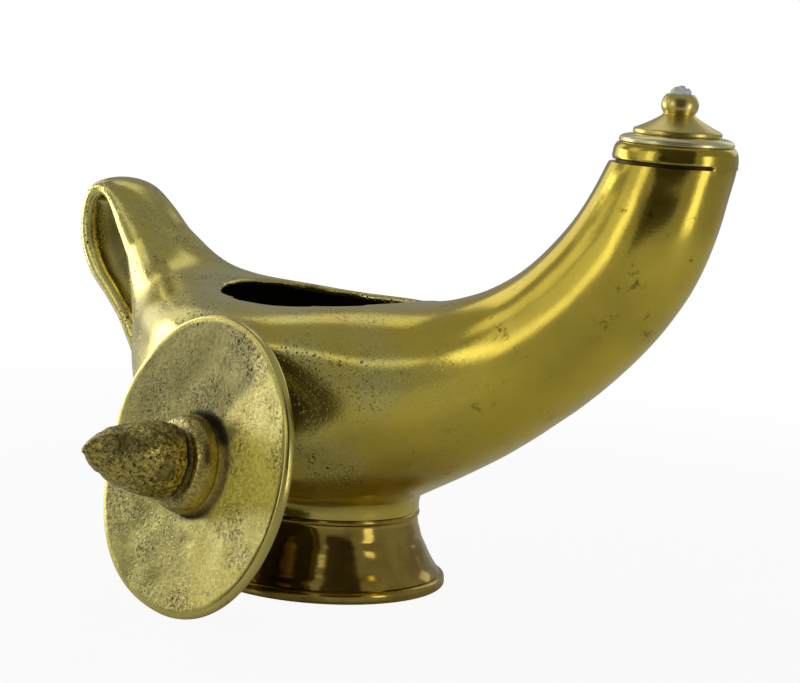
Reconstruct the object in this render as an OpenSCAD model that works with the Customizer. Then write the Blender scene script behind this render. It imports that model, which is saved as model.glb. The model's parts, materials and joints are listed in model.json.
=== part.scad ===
// Brass oil lamp of the boat-shaped kind, with a horn spout that carries a screw-in wick burner,
// a loop handle curled back from the stern, a turned foot, and a loose lid with an acorn finial
// that stands on the table and leans against the bowl.
// Millimetres. +Z up, +X towards the spout, origin on the table under the middle of the foot.

/* [Foot] */
// Diameter of the foot where it stands
foot_d = 71; // [64:1:76]
// Height of the foot, up to the seat of the bowl
foot_h = 22; // [19:1:26]
// Height of the upright band round the foot's edge
foot_band_h = 3.3; // [2.5:0.1:4.5]
// Diameter of the foot's waist
foot_neck_d = 53; // [47:1:55]
// Diameter of the bead under the bowl
foot_bead_d = 54; // [53:0.5:58]
// Height of that bead
foot_bead_h = 2; // [1.6:0.2:4]
// Diameter of the ring under the bowl, which sits on the foot
seat_ring_d = 53.4; // [50:0.2:56]
// Height of that ring, up into the bowl's belly
seat_ring_h = 6; // [5:0.5:7]
// Width of the rim that the foot stands on
foot_rim_w = 5; // [4:0.5:7]
// Depth of the hollow under the foot
foot_core_h = 13; // [8:1:15]
// Diameter of the screw's boss in the middle of that hollow
foot_boss_d = 24; // [20:1:26]

/* [Foot screw] */
// Shank diameter of the screw that holds the foot to the bowl
screw_d = 8; // [6:0.5:10]
// Length of the shank below the bowl's floor washers
screw_l = 17; // [14:0.5:18]
// Diameter of the screw's head
screw_head_d = 14; // [12:0.5:17]
// Height of the screw's head
screw_head_h = 4; // [3:0.5:6]
// Diameter of the washer under the head
washer_d = 22; // [18:1:26]
// Thickness of that washer
washer_t = 1.6; // [1:0.2:2.4]
// Thickness of the leather sealing disc under the washer
seal_t = 1.2; // [0.8:0.2:2]

/* [Bowl] */
// Greatest width of the bowl
bowl_w = 102; // [94:1:110]
// Height of the bowl's rim above the foot
bowl_h = 60.6; // [56:0.2:66]
// Thickness of the cast wall
wall = 3; // [2.4:0.1:3.6]
// Thickness of the floor over the foot
floor_t = 4; // [3:0.2:6]
// Diameter of the filling hole
hole_d = 60.4; // [54:0.4:64]
// Middle of the filling hole, behind the middle of the foot
hole_back = 5; // [2:0.5:7]

/* [Spout] */
// Reach of the spout's mouth ahead of the foot's middle
mouth_x = 105; // [99:0.1:110]
// Height of the spout's mouth above the foot
mouth_h = 104.6; // [98:0.1:110]
// Diameter of the horn at its mouth
mouth_d = 32; // [30.5:0.5:34]
// Forward lean of the mouth's axis from upright, degrees
mouth_lean = 2; // [0:0.5:8]
// Sideways lean of the mouth's axis, towards -Y, as cast, degrees
mouth_side = 2.5; // [0:0.5:4]
// Bore of the horn at its mouth
mouth_bore_d = 25; // [23:0.5:26]

/* [Handle] */
// Width of the handle where it leaves the tail
handle_root_w = 25; // [22:1:30]
// Width of the handle's loop
handle_w = 19; // [16:0.5:22]
// Thickness of the handle's outer limb
handle_t = 5.4; // [4.6:0.1:7]

/* [Spout collar] */
// Height of the collar's band
collar_h = 4.6; // [4:0.1:6.5]
// Height of the groove between the horn and the band
groove_h = 0.8; // [0.5:0.1:1.2]
// Depth of that groove
groove_depth = 1.1; // [0.8:0.1:1.6]
// How much narrower the collar is at its top than at its foot
collar_taper = 0.9; // [0:0.1:2]
// Length of the spigot that goes down into the horn
spigot_l = 7; // [5:0.5:10]
// Bore of the collar, which takes the burner
collar_bore_d = 19; // [17:0.5:20]

/* [Burner] */
// Diameter of the flange that sits on the collar
flange_d = 29.4; // [28:0.2:30.4]
// Thickness of the flange at its edge
flange_edge = 0.8; // [0.6:0.1:1.2]
// Rise of the flange from its edge to the cap
flange_rise = 1.4; // [0.8:0.1:2]
// Length of the plug below the flange
plug_l = 13; // [10:0.5:16]
// Diameter of the plug's neck, which the flange and the cap sit on
plug_neck_d = 12; // [11:0.5:14]
// Height of that neck above the flange's seat
plug_neck_h = 3.6; // [3.4:0.1:4]
// Diameter of the cap at its rim
cap_d = 22.6; // [20:0.2:24]
// Height of the cap's rim
cap_rim_h = 1.5; // [1:0.1:1.8]
// Height of the cap's cone above its rim
cap_cone_h = 4; // [3.2:0.1:5]
// Diameter of the neck under the ball
cap_neck_d = 7.9; // [7.6:0.1:9]
// Diameter of the flattened ball on the cap
ball_d = 9.5; // [9:0.1:11]
// Height of the ball
ball_h = 4.9; // [4:0.1:6]

/* [Wick] */
// Diameter of the round cotton wick
wick_d = 5.8; // [5:0.1:6]
// Wall of the tube that holds it
tube_wall = 0.5; // [0.4:0.1:0.6]
// Height of the wick above the ball
wick_show = 2.3; // [1.5:0.1:5]
// Length of the wick tube
tube_l = 30; // [27:1:36]

/* [Lid] */
// Diameter of the lid
lid_d = 80.8; // [76:0.4:84]
// Thickness of the lid at its edge
lid_t = 3; // [2.4:0.1:4]
// Depth of the dish in the lid's upper face
lid_dish = 0.9; // [0.4:0.1:1.4]
// Height of the locating ring under the lid
lid_ring_h = 2.7; // [2:0.1:4]
// Wall of the locating ring
lid_ring_t = 2; // [1.5:0.1:3]
// Lean of the lid from upright, degrees
lid_lean = 10.4; // [8:0.2:14]
// Turn of the lid's face from square to the lamp, degrees
lid_turn = 13.7; // [8:0.5:18]
// Place of the lid along the lamp, ahead of the foot's middle
lid_x = 4.8; // [0:0.1:12]
// How far the rim, ground by hand, stands out past round where it is fullest
rim_bulge = 2.4; // [0.6:0.2:3]

/* [Lid finial] */
// Overall length of the finial above the lid
knob_l = 33; // [30:0.5:38]
// Diameter of the finial's fat body
knob_d = 20.5; // [18:0.5:22]
// Diameter of the finial's foot ring
knob_ring_d = 26.5; // [24:0.5:28]
// Diameter of the raised pad that the finial stands on
pad_d = 30; // [29:0.5:34]
// Height of that pad
pad_h = 1.4; // [1:0.1:2]
// Diameter of the threaded stud through the lid
stud_d = 6; // [5:0.5:7]
// Width of the nut across its flats
nut_af = 10; // [9:0.5:12]
// Thickness of the nut
nut_h = 3; // [2.4:0.2:4]
// Diameter of the washer under the nut
knob_washer_d = 15; // [13:0.5:18]

/* [Hidden] */

brass = [0.72, 0.60, 0.24];
pale_brass = [0.80, 0.72, 0.36];
dark_brass = [0.50, 0.41, 0.16];

run_gap = 0.05;     // radial clearance of a running or screwed fit
rest_gap = 0.3;     // gap where the leaning lid meets the bowl
round_fn = 96;      // turned work
ring_pts = 44;      // points round a section of the castings
cavity_pts = 36;    // points round a section of the hollow

// ---- Sections. A section is [top x, top z, bottom x, bottom z, half width, height share of the
// widest level, power of the upper half, power of the lower half], in the middle plane of the
// lamp, with z counted from the foot's seat. A power of 2 is an ellipse; more is squarer.

function unit(v) = v / norm(v);

// Cubic Bezier through the four controls p, at t
function bezier(p, t) =
    pow(1 - t, 3) * p[0] + 3 * pow(1 - t, 2) * t * p[1] + 3 * (1 - t) * t * t * p[2] + pow(t, 3) * p[3];
function bezier_dir(p, t) =
    unit(pow(1 - t, 2) * (p[1] - p[0]) + 2 * (1 - t) * t * (p[2] - p[1]) + t * t * (p[3] - p[2]));

// Catmull-Rom curve through the rows of a list, n steps between rows
function ghost(s, i) =
    i < 0 ? 2 * s[0] - s[1] : i >= len(s) ? 2 * s[len(s) - 1] - s[len(s) - 2] : s[i];
function blend4(a, b, c, d, t) =
    0.5 * (2 * b + (c - a) * t + (2 * a - 5 * b + 4 * c - d) * t * t + (3 * b - a - 3 * c + d) * t * t * t);
function faired(s, n) = concat(
    [for (i = [0 : len(s) - 2]) for (k = [0 : n - 1])
        blend4(ghost(s, i - 1), s[i], s[i + 1], ghost(s, i + 2), k / n)],
    [s[len(s) - 1]]);

// A section moved inwards by the wall w on every side
function inset(r, w) =
    let (t = [r[0], r[1]], b = [r[2], r[3]], u = unit(t - b) * w)
    [r[0] - u[0], r[1] - u[1], r[2] + u[0], r[3] + u[1], r[4] - w, r[5], r[6], r[7]];

// The points of a section, as a closed ring in space
function spow(v, p) = sign(v) * pow(abs(v), p);
function ring(r, n) =
    let (t = [r[0], r[1]], b = [r[2], r[3]], long = norm(t - b), u = (t - b) / long, c = b + r[5] * (t - b))
    [for (k = [0 : n - 1])
        let (a = 360 * (k + 0.5) / n,
             up = sin(a) > 0,
             power = 2 / (up ? r[6] : r[7]),
             v = (up ? 1 - r[5] : r[5]) * long * spow(sin(a), power))
        [c[0] + u[0] * v, r[4] * spow(cos(a), power), c[1] + u[1] * v]];

function reversed(v) = [for (i = [len(v) - 1 : -1 : 0]) v[i]];

// A closed skin over a list of rings, with two triangles to each patch and a flat cap at each end.
// Seen along the list, the points of every ring run clockwise.
module skin(rings) {
    n = len(rings[0]);
    last = (len(rings) - 1) * n;
    patches = [for (i = [0 : len(rings) - 2]) for (k = [0 : n - 1])
        let (a = i * n + k, b = i * n + (k + 1) % n)
        each [[b, a, a + n], [b, a + n, b + n]]];
    caps = [[for (k = [0 : n - 1]) k], [for (k = [n - 1 : -1 : 0]) last + k]];
    polyhedron([for (r = rings) each r], concat(patches, caps), convexity = 6);
}

// ---- The horn: a Bezier centre line with a radius that follows another. Its sections are square
// to the line at first, and turn level with the mouth's plane over the last stretch.
horn_start = [14.9, bowl_h - 30.1];
horn_low = [60.1, bowl_h - 16.8];
horn_pull = 44.7;
horn_arrival = 15.4;
mouth = [mouth_x, mouth_h];
mouth_dir = [sin(mouth_lean), cos(mouth_lean)];
horn_line = [horn_start, horn_low, mouth - horn_pull * [sin(horn_arrival), cos(horn_arrival)], mouth];
horn_radii = [32.8, 14.4, 21.8, mouth_d / 2];
// wider: how much wider than high; level: height share of the widest level
function horn_section(t, wider, level) =
    let (c = bezier(horn_line, t), r = bezier(horn_radii, t), turn = pow(t, 6),
         d = unit((1 - turn) * bezier_dir(horn_line, t) + turn * mouth_dir), n = [-d[1], d[0]])
    [c[0] + n[0] * r, c[1] + n[1] * r, c[0] - n[0] * r, c[1] - n[1] * r, r * wider, level, 2, 2];

// The casting runs on past the mouth, and is faced off square to the mouth's axis
facing = 1.6;
function raised(r, h) =
    let (x = h * mouth_dir[0], z = h * mouth_dir[1])
    [r[0] + x, r[1] + z, r[2] + x, r[3] + z, r[4], r[5], r[6], r[7]];

// ---- The bowl, from the handle's root at the stern to the horn
half_w = bowl_w / 2;
root_section = [-66, bowl_h + 15.7, -79.5, bowl_h + 1.4, handle_root_w / 2, 0.5, 2.2, 2.2];
stern_sections = [
    [-54.5, bowl_h + 6.9, -71.5, bowl_h - 17, half_w * 0.36, 0.54, 2.3, 2.2],
    [-42.5, bowl_h + 2.9, -60, bowl_h - 39.5, half_w * 0.63, 0.62, 2.6, 2.2],
    [-24, bowl_h + 0.9, -36, 2.6, half_w * 0.92, 0.7, 3, 2.2]];
midship_section = [0, bowl_h, 0, -2, half_w, 0.73, 3.2, 2.2];
bow_section = [19, bowl_h + 0.8, 22, 1.8, half_w * 0.88, 0.68, 2.8, 2.1];
horn_sections = [
    horn_section(0.25, 1.3, 0.56), horn_section(0.4, 1.14, 0.53), horn_section(0.55, 1.05, 0.5),
    horn_section(0.7, 1.01, 0.5), horn_section(0.85, 1, 0.5),
    raised(horn_section(1, 1, 0.5), facing)];
hull_sections = concat([root_section], stern_sections, [midship_section, bow_section], horn_sections);
hull_steps = 4;
hull_rings = [for (r = faired(hull_sections, hull_steps)) ring(r, ring_pts)];

// The hollow starts behind the filling hole and ends just inside the mouth's bore
bore_depth = spigot_l + 1.5;
cavity_sections = concat(
    [inset([-47, bowl_h + 5, -62, bowl_h - 36, half_w * 0.56, 0.6, 2.4, 2.2], wall + 1),
     inset(stern_sections[2], wall), inset(midship_section, wall), inset(bow_section, wall)],
    [for (i = [0 : 4]) inset(horn_sections[i], wall)],
    [inset(horn_section(0.955, 1, 0.5), (mouth_d - mouth_bore_d) / 2 + 0.9)]);
cavity_rings = [for (r = faired(cavity_sections, 3)) ring(r, cavity_pts)];

// ---- The handle: up from the root, over the top, and down the back into the stern
half_grip = handle_w / 2;
loop_sections = [
    [-73.5, bowl_h + 22.4, -84.5, bowl_h + 10.9, half_grip + 2.2, 0.5, 2.2, 2.2],
    [-82.5, bowl_h + 27.9, -88, bowl_h + 18.9, half_grip + 1.4, 0.5, 2.2, 2.2],
    [-91, bowl_h + 29, -91, bowl_h + 21.4, half_grip + 0.8, 0.5, 2.2, 2.2]];
// Middle line of the outer limb; each end of a section is half the thickness to either side
function limb_section(x, z, slope, w) =
    let (o = handle_t / 2 * [-cos(slope), sin(slope)])
    [x + o[0], z + o[1], x - o[0], z - o[1], w, 0.5, 2.2, 2.2];
limb_sections = [
    limb_section(-95.4, bowl_h + 22.9, 42, half_grip + 0.4), limb_section(-97.6, bowl_h + 15.4, 8, half_grip),
    limb_section(-96.6, bowl_h + 7.4, -14, half_grip), limb_section(-92.4, bowl_h - 0.6, -38, half_grip),
    limb_section(-85.8, bowl_h - 7.6, -45, half_grip), limb_section(-79.2, bowl_h - 14.8, -38, half_grip)];
stub_sections = [
    limb_section(-73.6, bowl_h - 23, -32, half_grip), limb_section(-67.2, bowl_h - 32.5, -36, half_grip),
    limb_section(-58, bowl_h - 43, -42, half_grip - 2)];
handle_sections = concat([root_section], loop_sections, limb_sections);
handle_steps = 3;
handle_rings = [for (r = reversed(faired(handle_sections, handle_steps))) ring(r, ring_pts)];
stub_rings = [for (r = reversed(concat([limb_sections[5]], stub_sections))) ring(r, ring_pts)];

module bowl() {
    color(brass) translate([0, 0, foot_h])
        difference() {
            union() {
                skin(hull_rings);
                skin(stub_rings);
                seat_ring();
            }
            difference() {
                skin(cavity_rings);
                below_floor();
            }
            filling_hole();
            below_seat();
            screw_hole();
            mouth_cut();
        }
}

// Open to the sky, with its wall square to the rim
module filling_hole()
    translate([-hole_back, 0, bowl_h - 14]) cylinder(h = 40, d = hole_d, $fn = round_fn);

// Faces the horn off at height 0 of the mouth's axis, and bores it for the collar's spigot
module mouth_cut()
    translate([0, 0, -foot_h]) at_mouth() {
        translate([0, 0, mouth_d / 2]) cube([2 * mouth_d, 2 * mouth_d, mouth_d], center = true);
        translate([0, 0, -bore_depth]) cylinder(h = bore_depth + 1, d = mouth_bore_d, $fn = round_fn);
    }

module below_seat() translate([0, 0, -20]) cube([2 * foot_d, 2 * foot_d, 40], center = true);

// Keeps the hollow above the flat floor that the foot screw's washers lie on
module below_floor() translate([0, 0, floor_t - 20]) cube([4 * foot_d, 2 * foot_d, 40], center = true);

// The turned ring cast under the belly, its lower edge broken
module seat_ring()
    rotate_extrude($fn = round_fn)
        polygon([[0, 0], [seat_ring_d / 2 - edge_break, 0], [seat_ring_d / 2, edge_break],
                 [seat_ring_d / 2, seat_ring_h], [0, seat_ring_h]]);

module screw_hole() cylinder(h = 60, d = screw_d + 2 * run_gap, center = true, $fn = round_fn);

module handle() {
    color(brass) translate([0, 0, foot_h]) union() skin(handle_rings);
}

// ---- Foot
foot_r = foot_d / 2;
neck_r = foot_neck_d / 2;
bead_r = foot_bead_d / 2;
bead_round = foot_bead_h / 2;
scotia_top = foot_h - foot_bead_h;
edge_break = 0.3;
screw_clear = 1;
screw_hole_bottom = foot_h + floor_t + seal_t + washer_t - screw_l - screw_clear;

// Half outline of the foot: band, hollow sweep drawn by a power curve, bead
foot_outline = concat(
    [[0, 0], [foot_boss_d / 2, 0], [foot_boss_d / 2, foot_core_h], [neck_r - foot_rim_w, foot_core_h],
     [foot_r - foot_rim_w, 0], [foot_r - edge_break, 0], [foot_r, edge_break],
     [foot_r, foot_band_h - edge_break], [foot_r - edge_break, foot_band_h]],
    [for (k = [0 : 12])
        let (t = k / 12)
        [neck_r + (foot_r - 1.6 - neck_r) * pow(1 - t, 1.5),
         foot_band_h + 0.3 + (scotia_top - foot_band_h - 0.3) * t]],
    [for (a = [-60 : 20 : 60])
        [bead_r + bead_round * (cos(a) - 1), foot_h + bead_round * (sin(a) - 1)]],
    [[bead_r - bead_round, foot_h], [0, foot_h]]);

module foot() {
    color(brass) difference() {
        rotate_extrude($fn = round_fn) polygon(foot_outline);
        translate([0, 0, screw_hole_bottom])
            cylinder(h = foot_h, d = screw_d + 2 * run_gap, $fn = round_fn);
    }
}

// ---- Foot screw, put in from inside the bowl
floor_z = foot_h + floor_t;
head_z = floor_z + seal_t + washer_t;

module foot_screw() {
    color(dark_brass) difference() {
        union() {
            translate([0, 0, head_z - screw_l]) cylinder(h = screw_l, d = screw_d, $fn = round_fn);
            translate([0, 0, head_z]) cylinder(h = screw_head_h, d = screw_head_d, $fn = round_fn);
        }
        translate([0, 0, head_z + screw_head_h])
            cube([screw_head_d + 1, 1.6, screw_head_h], center = true);
    }
}

module flat_washer(z, outer, inner, t)
    translate([0, 0, z]) difference() {
        cylinder(h = t, d = outer, $fn = round_fn);
        translate([0, 0, -1]) cylinder(h = t + 2, d = inner, $fn = round_fn);
    }

module foot_washer() {
    color(pale_brass) flat_washer(floor_z + seal_t, washer_d, screw_d + 2 * run_gap, washer_t);
}

module foot_seal() {
    color([0.35, 0.22, 0.12]) flat_washer(floor_z, washer_d + 2, screw_d + 2 * run_gap, seal_t);
}

// ---- Everything on the mouth's axis, with height 0 at the top face of the horn
module at_mouth()
    translate([mouth_x, 0, foot_h + mouth_h]) rotate([mouth_side, mouth_lean, 0]) children();

module turned(outline) rotate_extrude($fn = round_fn) polygon(outline);

collar_top = groove_h + collar_h;
spigot_r = mouth_bore_d / 2 - run_gap;
collar_r = mouth_d / 2 + 0.1;
collar_round = 1.2;
collar_shoulder_r = collar_r - collar_taper / 2 - collar_round;
plug_r = collar_bore_d / 2 - run_gap;
tube_r = wick_d / 2 + run_gap + tube_wall;

module spout_collar() {
    color(brass) at_mouth() turned(concat([
        [collar_bore_d / 2, -spigot_l], [spigot_r, -spigot_l], [spigot_r, 0],
        [collar_r - groove_depth, 0], [collar_r - groove_depth, groove_h],
        [collar_r, groove_h], [collar_shoulder_r + collar_round, collar_top - collar_round]],
        [for (a = [15 : 15 : 90])
            [collar_shoulder_r + collar_round * cos(a), collar_top - collar_round + collar_round * sin(a)]],
        [[collar_bore_d / 2, collar_top]]));
}

module burner_plug() {
    color(dark_brass) at_mouth() turned([
        [tube_r + run_gap, collar_top - plug_l], [plug_r - 0.6, collar_top - plug_l],
        [plug_r, collar_top - plug_l + 0.6], [plug_r, collar_top],
        [plug_neck_d / 2, collar_top], [plug_neck_d / 2, collar_top + plug_neck_h],
        [tube_r + run_gap, collar_top + plug_neck_h]]);
}

flange_seat_r = cap_d / 2 - 0.7;
cap_z = collar_top + flange_edge + flange_rise;
neck_bore_r = plug_neck_d / 2 + run_gap;

module burner_flange() {
    color(pale_brass) at_mouth() turned(concat(
        [[neck_bore_r, collar_top], [flange_d / 2, collar_top], [flange_d / 2, collar_top + flange_edge]],
        [for (a = [15 : 15 : 75])
            [flange_seat_r + (flange_d / 2 - flange_seat_r) * cos(a),
             collar_top + flange_edge + flange_rise * sin(a)]],
        [[flange_seat_r, cap_z], [neck_bore_r, cap_z]]));
}

cone_z = cap_z + cap_rim_h;
neck_z = cone_z + cap_cone_h;
ball_top_a = acos((tube_r + run_gap) / (ball_d / 2));
ball_low_a = -acos(cap_neck_d / ball_d);
ball_ry = ball_h / (sin(ball_top_a) - sin(ball_low_a));
ball_z = neck_z - ball_ry * sin(ball_low_a);
ball_top = neck_z + ball_h;

// Turned cap: thin rim, hollow-sided cone, neck and ball, with a recess for the plug's neck
module burner_cap() {
    color(pale_brass) at_mouth() turned(concat(
        [[neck_bore_r, cap_z], [cap_d / 2 - 0.2, cap_z], [cap_d / 2, cap_z + 0.2],
         [cap_d / 2, cone_z - 0.3], [cap_d / 2 - 0.4, cone_z]],
        [for (k = [1 : 8])
            let (t = k / 8)
            [cap_neck_d / 2 + (cap_d / 2 - 0.4 - cap_neck_d / 2) * pow(1 - t, 1.25),
             cone_z + cap_cone_h * t]],
        [for (k = [0 : 12])
            let (a = ball_low_a + (ball_top_a - ball_low_a) * k / 12)
            [ball_d / 2 * cos(a), ball_z + ball_ry * sin(a)]],
        [[tube_r + run_gap, collar_top + plug_neck_h], [neck_bore_r, collar_top + plug_neck_h]]));
}

module wick_tube() {
    color(brass) at_mouth() translate([0, 0, ball_top - tube_l]) difference() {
        cylinder(h = tube_l, r = tube_r, $fn = round_fn);
        translate([0, 0, -1]) cylinder(h = tube_l + 2, d = wick_d + 2 * run_gap, $fn = round_fn);
    }
}

// The wick: straight in its tube, then loose along the horn and down towards the bowl
wick_top = ball_top + wick_show;
wick_straight = tube_l + 6;
wick_sides = 12;
mouth_axis = [sin(mouth_lean) * cos(mouth_side), -sin(mouth_side), cos(mouth_lean) * cos(mouth_side)];
function mouth_point(h) = [mouth_x, 0, mouth_h] + h * mouth_axis;
wick_line = [mouth_point(ball_top - wick_straight), mouth_point(ball_top - wick_straight - 20),
             [80, 0, 53], [48, 0, 28]];
wick_path = concat(
    [mouth_point(wick_top), mouth_point(wick_top - 1.2), mouth_point(ball_top)],
    [for (k = [0 : 14]) bezier(wick_line, k / 14)]);
function wick_radius(i) = i == 0 ? wick_d * 0.28 : wick_d / 2;
function path_dir(p, i) = unit(p[min(i + 1, len(p) - 1)] - p[max(i - 1, 0)]);
wick_rings = [for (i = [0 : len(wick_path) - 1])
    let (d = path_dir(wick_path, i), n = unit(cross(d, [0, 1, 0])), m = cross(n, d), r = wick_radius(i))
    [for (k = [0 : wick_sides - 1])
        let (a = 360 * k / wick_sides)
        wick_path[i] + r * (cos(a) * m + sin(a) * n)]];
module wick() {
    color([0.93, 0.92, 0.88]) translate([0, 0, foot_h]) skin(wick_rings);
}

// ---- The lid, stood on its edge and leaned on the bowl, as far in as the resting gap lets it:
// either its plate meets the bowl's tangent plane, or its ring meets the bowl behind the ring.
lid_r = lid_d / 2;
lid_ring_r = hole_d / 2 - 0.8;
hole_in_lid = stud_d + 2 * run_gap;
lid_out = [-sin(lid_turn) * cos(lid_lean), -cos(lid_turn) * cos(lid_lean), sin(lid_lean)];
lid_right = [cos(lid_turn), -sin(lid_turn), 0];
lid_up = cross(lid_out, lid_right);
lid_z = lid_r * lid_up[2];
function lid_middle(plane) =
    [lid_x, (plane - lid_out[0] * lid_x - lid_out[2] * lid_z) / lid_out[1], lid_z];
hull_points = [for (r = hull_rings) for (p = r) p + [0, 0, foot_h]];
bowl_reach = max([for (p = hull_points) p * lid_out]);
// How far the bowl behind the ring lies back from that tangent plane
ring_margin = 1.5;
behind_ring = [for (p = hull_points)
    let (q = p - lid_middle(bowl_reach))
    if (norm([q * lid_right, q * lid_up]) < lid_ring_r + ring_margin) -q * lid_out];
lid_plane = bowl_reach + rest_gap + max(0, lid_ring_h - min(behind_ring));

// Lid frame: its own +Z is the outward face, height 0 at the back of the plate
module at_lid()
    translate(lid_middle(lid_plane)) rotate([0, 0, -lid_turn]) rotate([90 - lid_lean, 0, 0]) children();

pad_z = lid_t - lid_dish + pad_h;
lid_bevel = 0.8;
edge_round = 0.5;

// The fuller stretch of the rim: a wave of half width bulge_half about the angle bulge_at, and a
// little inside the round rim at its two ends
bulge_at = 222;
bulge_half = 46;
bulge_ends_in = 0.3;
bulge_steps = 12;
bulge_line = [for (k = [-bulge_steps : bulge_steps])
    let (a = bulge_at + bulge_half * k / bulge_steps,
         r = lid_r - bulge_ends_in + (rim_bulge + bulge_ends_in) * pow(cos(90 * k / bulge_steps), 2))
    r * [cos(a), sin(a)]];

module fuller_rim()
    translate([0, 0, edge_round]) linear_extrude(height = lid_t - edge_round - lid_bevel)
        polygon(concat(bulge_line, [(lid_r - 8) * [cos(bulge_at), sin(bulge_at)]]));

module lid_plate() {
    color(brass) at_lid() union() {
        round_plate();
        fuller_rim();
    }
}

module round_plate()
    turned(concat(
        [[hole_in_lid / 2, 0], [lid_r - edge_round, 0], [lid_r, edge_round], [lid_r, lid_t - lid_bevel],
         [lid_r - lid_bevel, lid_t]],
        [for (k = [1 : 10])
            let (t = k / 10, r = lid_r - 3 + (pad_d / 2 + 1 - lid_r + 3) * t)
            [r, lid_t - lid_dish * sin(90 * t)]],
        [[pad_d / 2, lid_t - lid_dish + 0.4], [pad_d / 2 - 1, pad_z], [hole_in_lid / 2, pad_z]]));

module lid_ring() {
    color(brass) at_lid() turned([
        [lid_ring_r - lid_ring_t, -lid_ring_h], [lid_ring_r - 0.5, -lid_ring_h],
        [lid_ring_r, 0.5 - lid_ring_h], [lid_ring_r, 0], [lid_ring_r - lid_ring_t, 0]]);
}

knob_r = knob_d / 2;
knob_ring_r = knob_ring_d / 2;
stud_in_knob = 12;

// Finial outline from the pad up: foot ring, waist, fat acorn body, short blunt nose
ring_round = 2.8;
waist_z = 2 * ring_round;
knob_outline = concat(
    [[0, 0], [knob_ring_r - ring_round, 0]],
    [for (a = [-75 : 15 : 75])
        [knob_ring_r - ring_round + ring_round * cos(a), ring_round + ring_round * sin(a)]],
    [[knob_r - 0.8, waist_z + 0.5]],
    [for (k = [1 : 14])
        let (t = k / 14)
        [knob_r * pow(1 - pow(t, 2.6), 0.8) + 1.2 * t, waist_z + 0.5 + (knob_l - waist_z - 1) * t]],
    [[0, knob_l]]);

module lid_knob() {
    color(dark_brass) at_lid() translate([0, 0, pad_z]) difference() {
        turned(knob_outline);
        translate([0, 0, -1]) cylinder(h = stud_in_knob + 2, d = stud_d + 2 * run_gap, $fn = round_fn);
    }
}

knob_washer_t = 1.2;
stud_end = 1.5;

module knob_stud() {
    color(pale_brass) at_lid() translate([0, 0, -knob_washer_t - nut_h - stud_end])
        cylinder(h = knob_washer_t + nut_h + stud_end + pad_z + stud_in_knob, d = stud_d, $fn = round_fn);
}

module knob_washer() {
    color(pale_brass) at_lid() flat_washer(-knob_washer_t, knob_washer_d, hole_in_lid, knob_washer_t);
}

module knob_nut() {
    color(pale_brass) at_lid() translate([0, 0, -knob_washer_t - nut_h]) difference() {
        cylinder(h = nut_h, d = nut_af / cos(30), $fn = 6);
        translate([0, 0, -1]) cylinder(h = nut_h + 2, d = stud_d + 2 * run_gap, $fn = round_fn);
    }
}

bowl();
handle();
foot();
foot_screw();
foot_washer();
foot_seal();
spout_collar();
burner_plug();
burner_flange();
burner_cap();
wick_tube();
wick();
lid_plate();
lid_ring();
lid_knob();
knob_stud();
knob_washer();
knob_nut();
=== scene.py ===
"""Dresses a boat-shaped brass oil lamp: polished casting, turned foot, satin burner and pitted lid.

Lengths are millimetres unless a name ends in _m or a docstring says metres; meshes are made in metres.
"""

from __future__ import annotations

import json
import logging
import math
from dataclasses import dataclass
from enum import Enum
from typing import Sequence

import bpy
import numpy as np
from mathutils import Matrix, Vector

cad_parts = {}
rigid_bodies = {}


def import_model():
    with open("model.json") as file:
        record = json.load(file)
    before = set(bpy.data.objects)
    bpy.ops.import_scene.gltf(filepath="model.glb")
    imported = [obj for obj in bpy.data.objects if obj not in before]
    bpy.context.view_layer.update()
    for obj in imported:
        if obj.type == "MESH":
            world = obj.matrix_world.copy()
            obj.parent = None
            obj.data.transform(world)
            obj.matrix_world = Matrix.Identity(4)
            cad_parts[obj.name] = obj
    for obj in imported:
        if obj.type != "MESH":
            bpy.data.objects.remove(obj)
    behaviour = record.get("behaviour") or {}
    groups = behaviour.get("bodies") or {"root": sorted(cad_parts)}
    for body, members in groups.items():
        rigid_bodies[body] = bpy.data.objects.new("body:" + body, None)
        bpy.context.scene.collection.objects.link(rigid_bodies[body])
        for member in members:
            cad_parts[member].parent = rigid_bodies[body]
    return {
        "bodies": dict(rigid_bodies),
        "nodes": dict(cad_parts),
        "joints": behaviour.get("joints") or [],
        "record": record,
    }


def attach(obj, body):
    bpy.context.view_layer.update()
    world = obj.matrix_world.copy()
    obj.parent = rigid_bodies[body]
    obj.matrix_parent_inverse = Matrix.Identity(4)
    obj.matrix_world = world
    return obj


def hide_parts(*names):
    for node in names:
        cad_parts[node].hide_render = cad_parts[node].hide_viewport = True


log = logging.getLogger("oil_lamp")

Array = np.ndarray
Colour = tuple[float, float, float]
Triple = tuple[float, float, float]
MM = 0.001
WHITE = (1.0, 1.0, 1.0, 1.0)
CAMERA_AZIMUTH = -54  # degrees from +X to the side that the camera stands on
TINY = 1e-6  # keeps a division by a length from failing
POLE = 0.02  # radius at which a turned solid closes on its axis
ALONG_AXIS = np.array([0, 0, 1])
ACROSS_AXIS = np.array([1, 1, 0])


# ---------------------------------------------------------------------------------------------------------
# Shapes worked out on grids
# ---------------------------------------------------------------------------------------------------------
class Ends(Enum):
    """How the two end rings of a loft are closed."""

    FAN = "a fan of triangles to a middle point"
    LOOP = "the last ring joined to the first"


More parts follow.
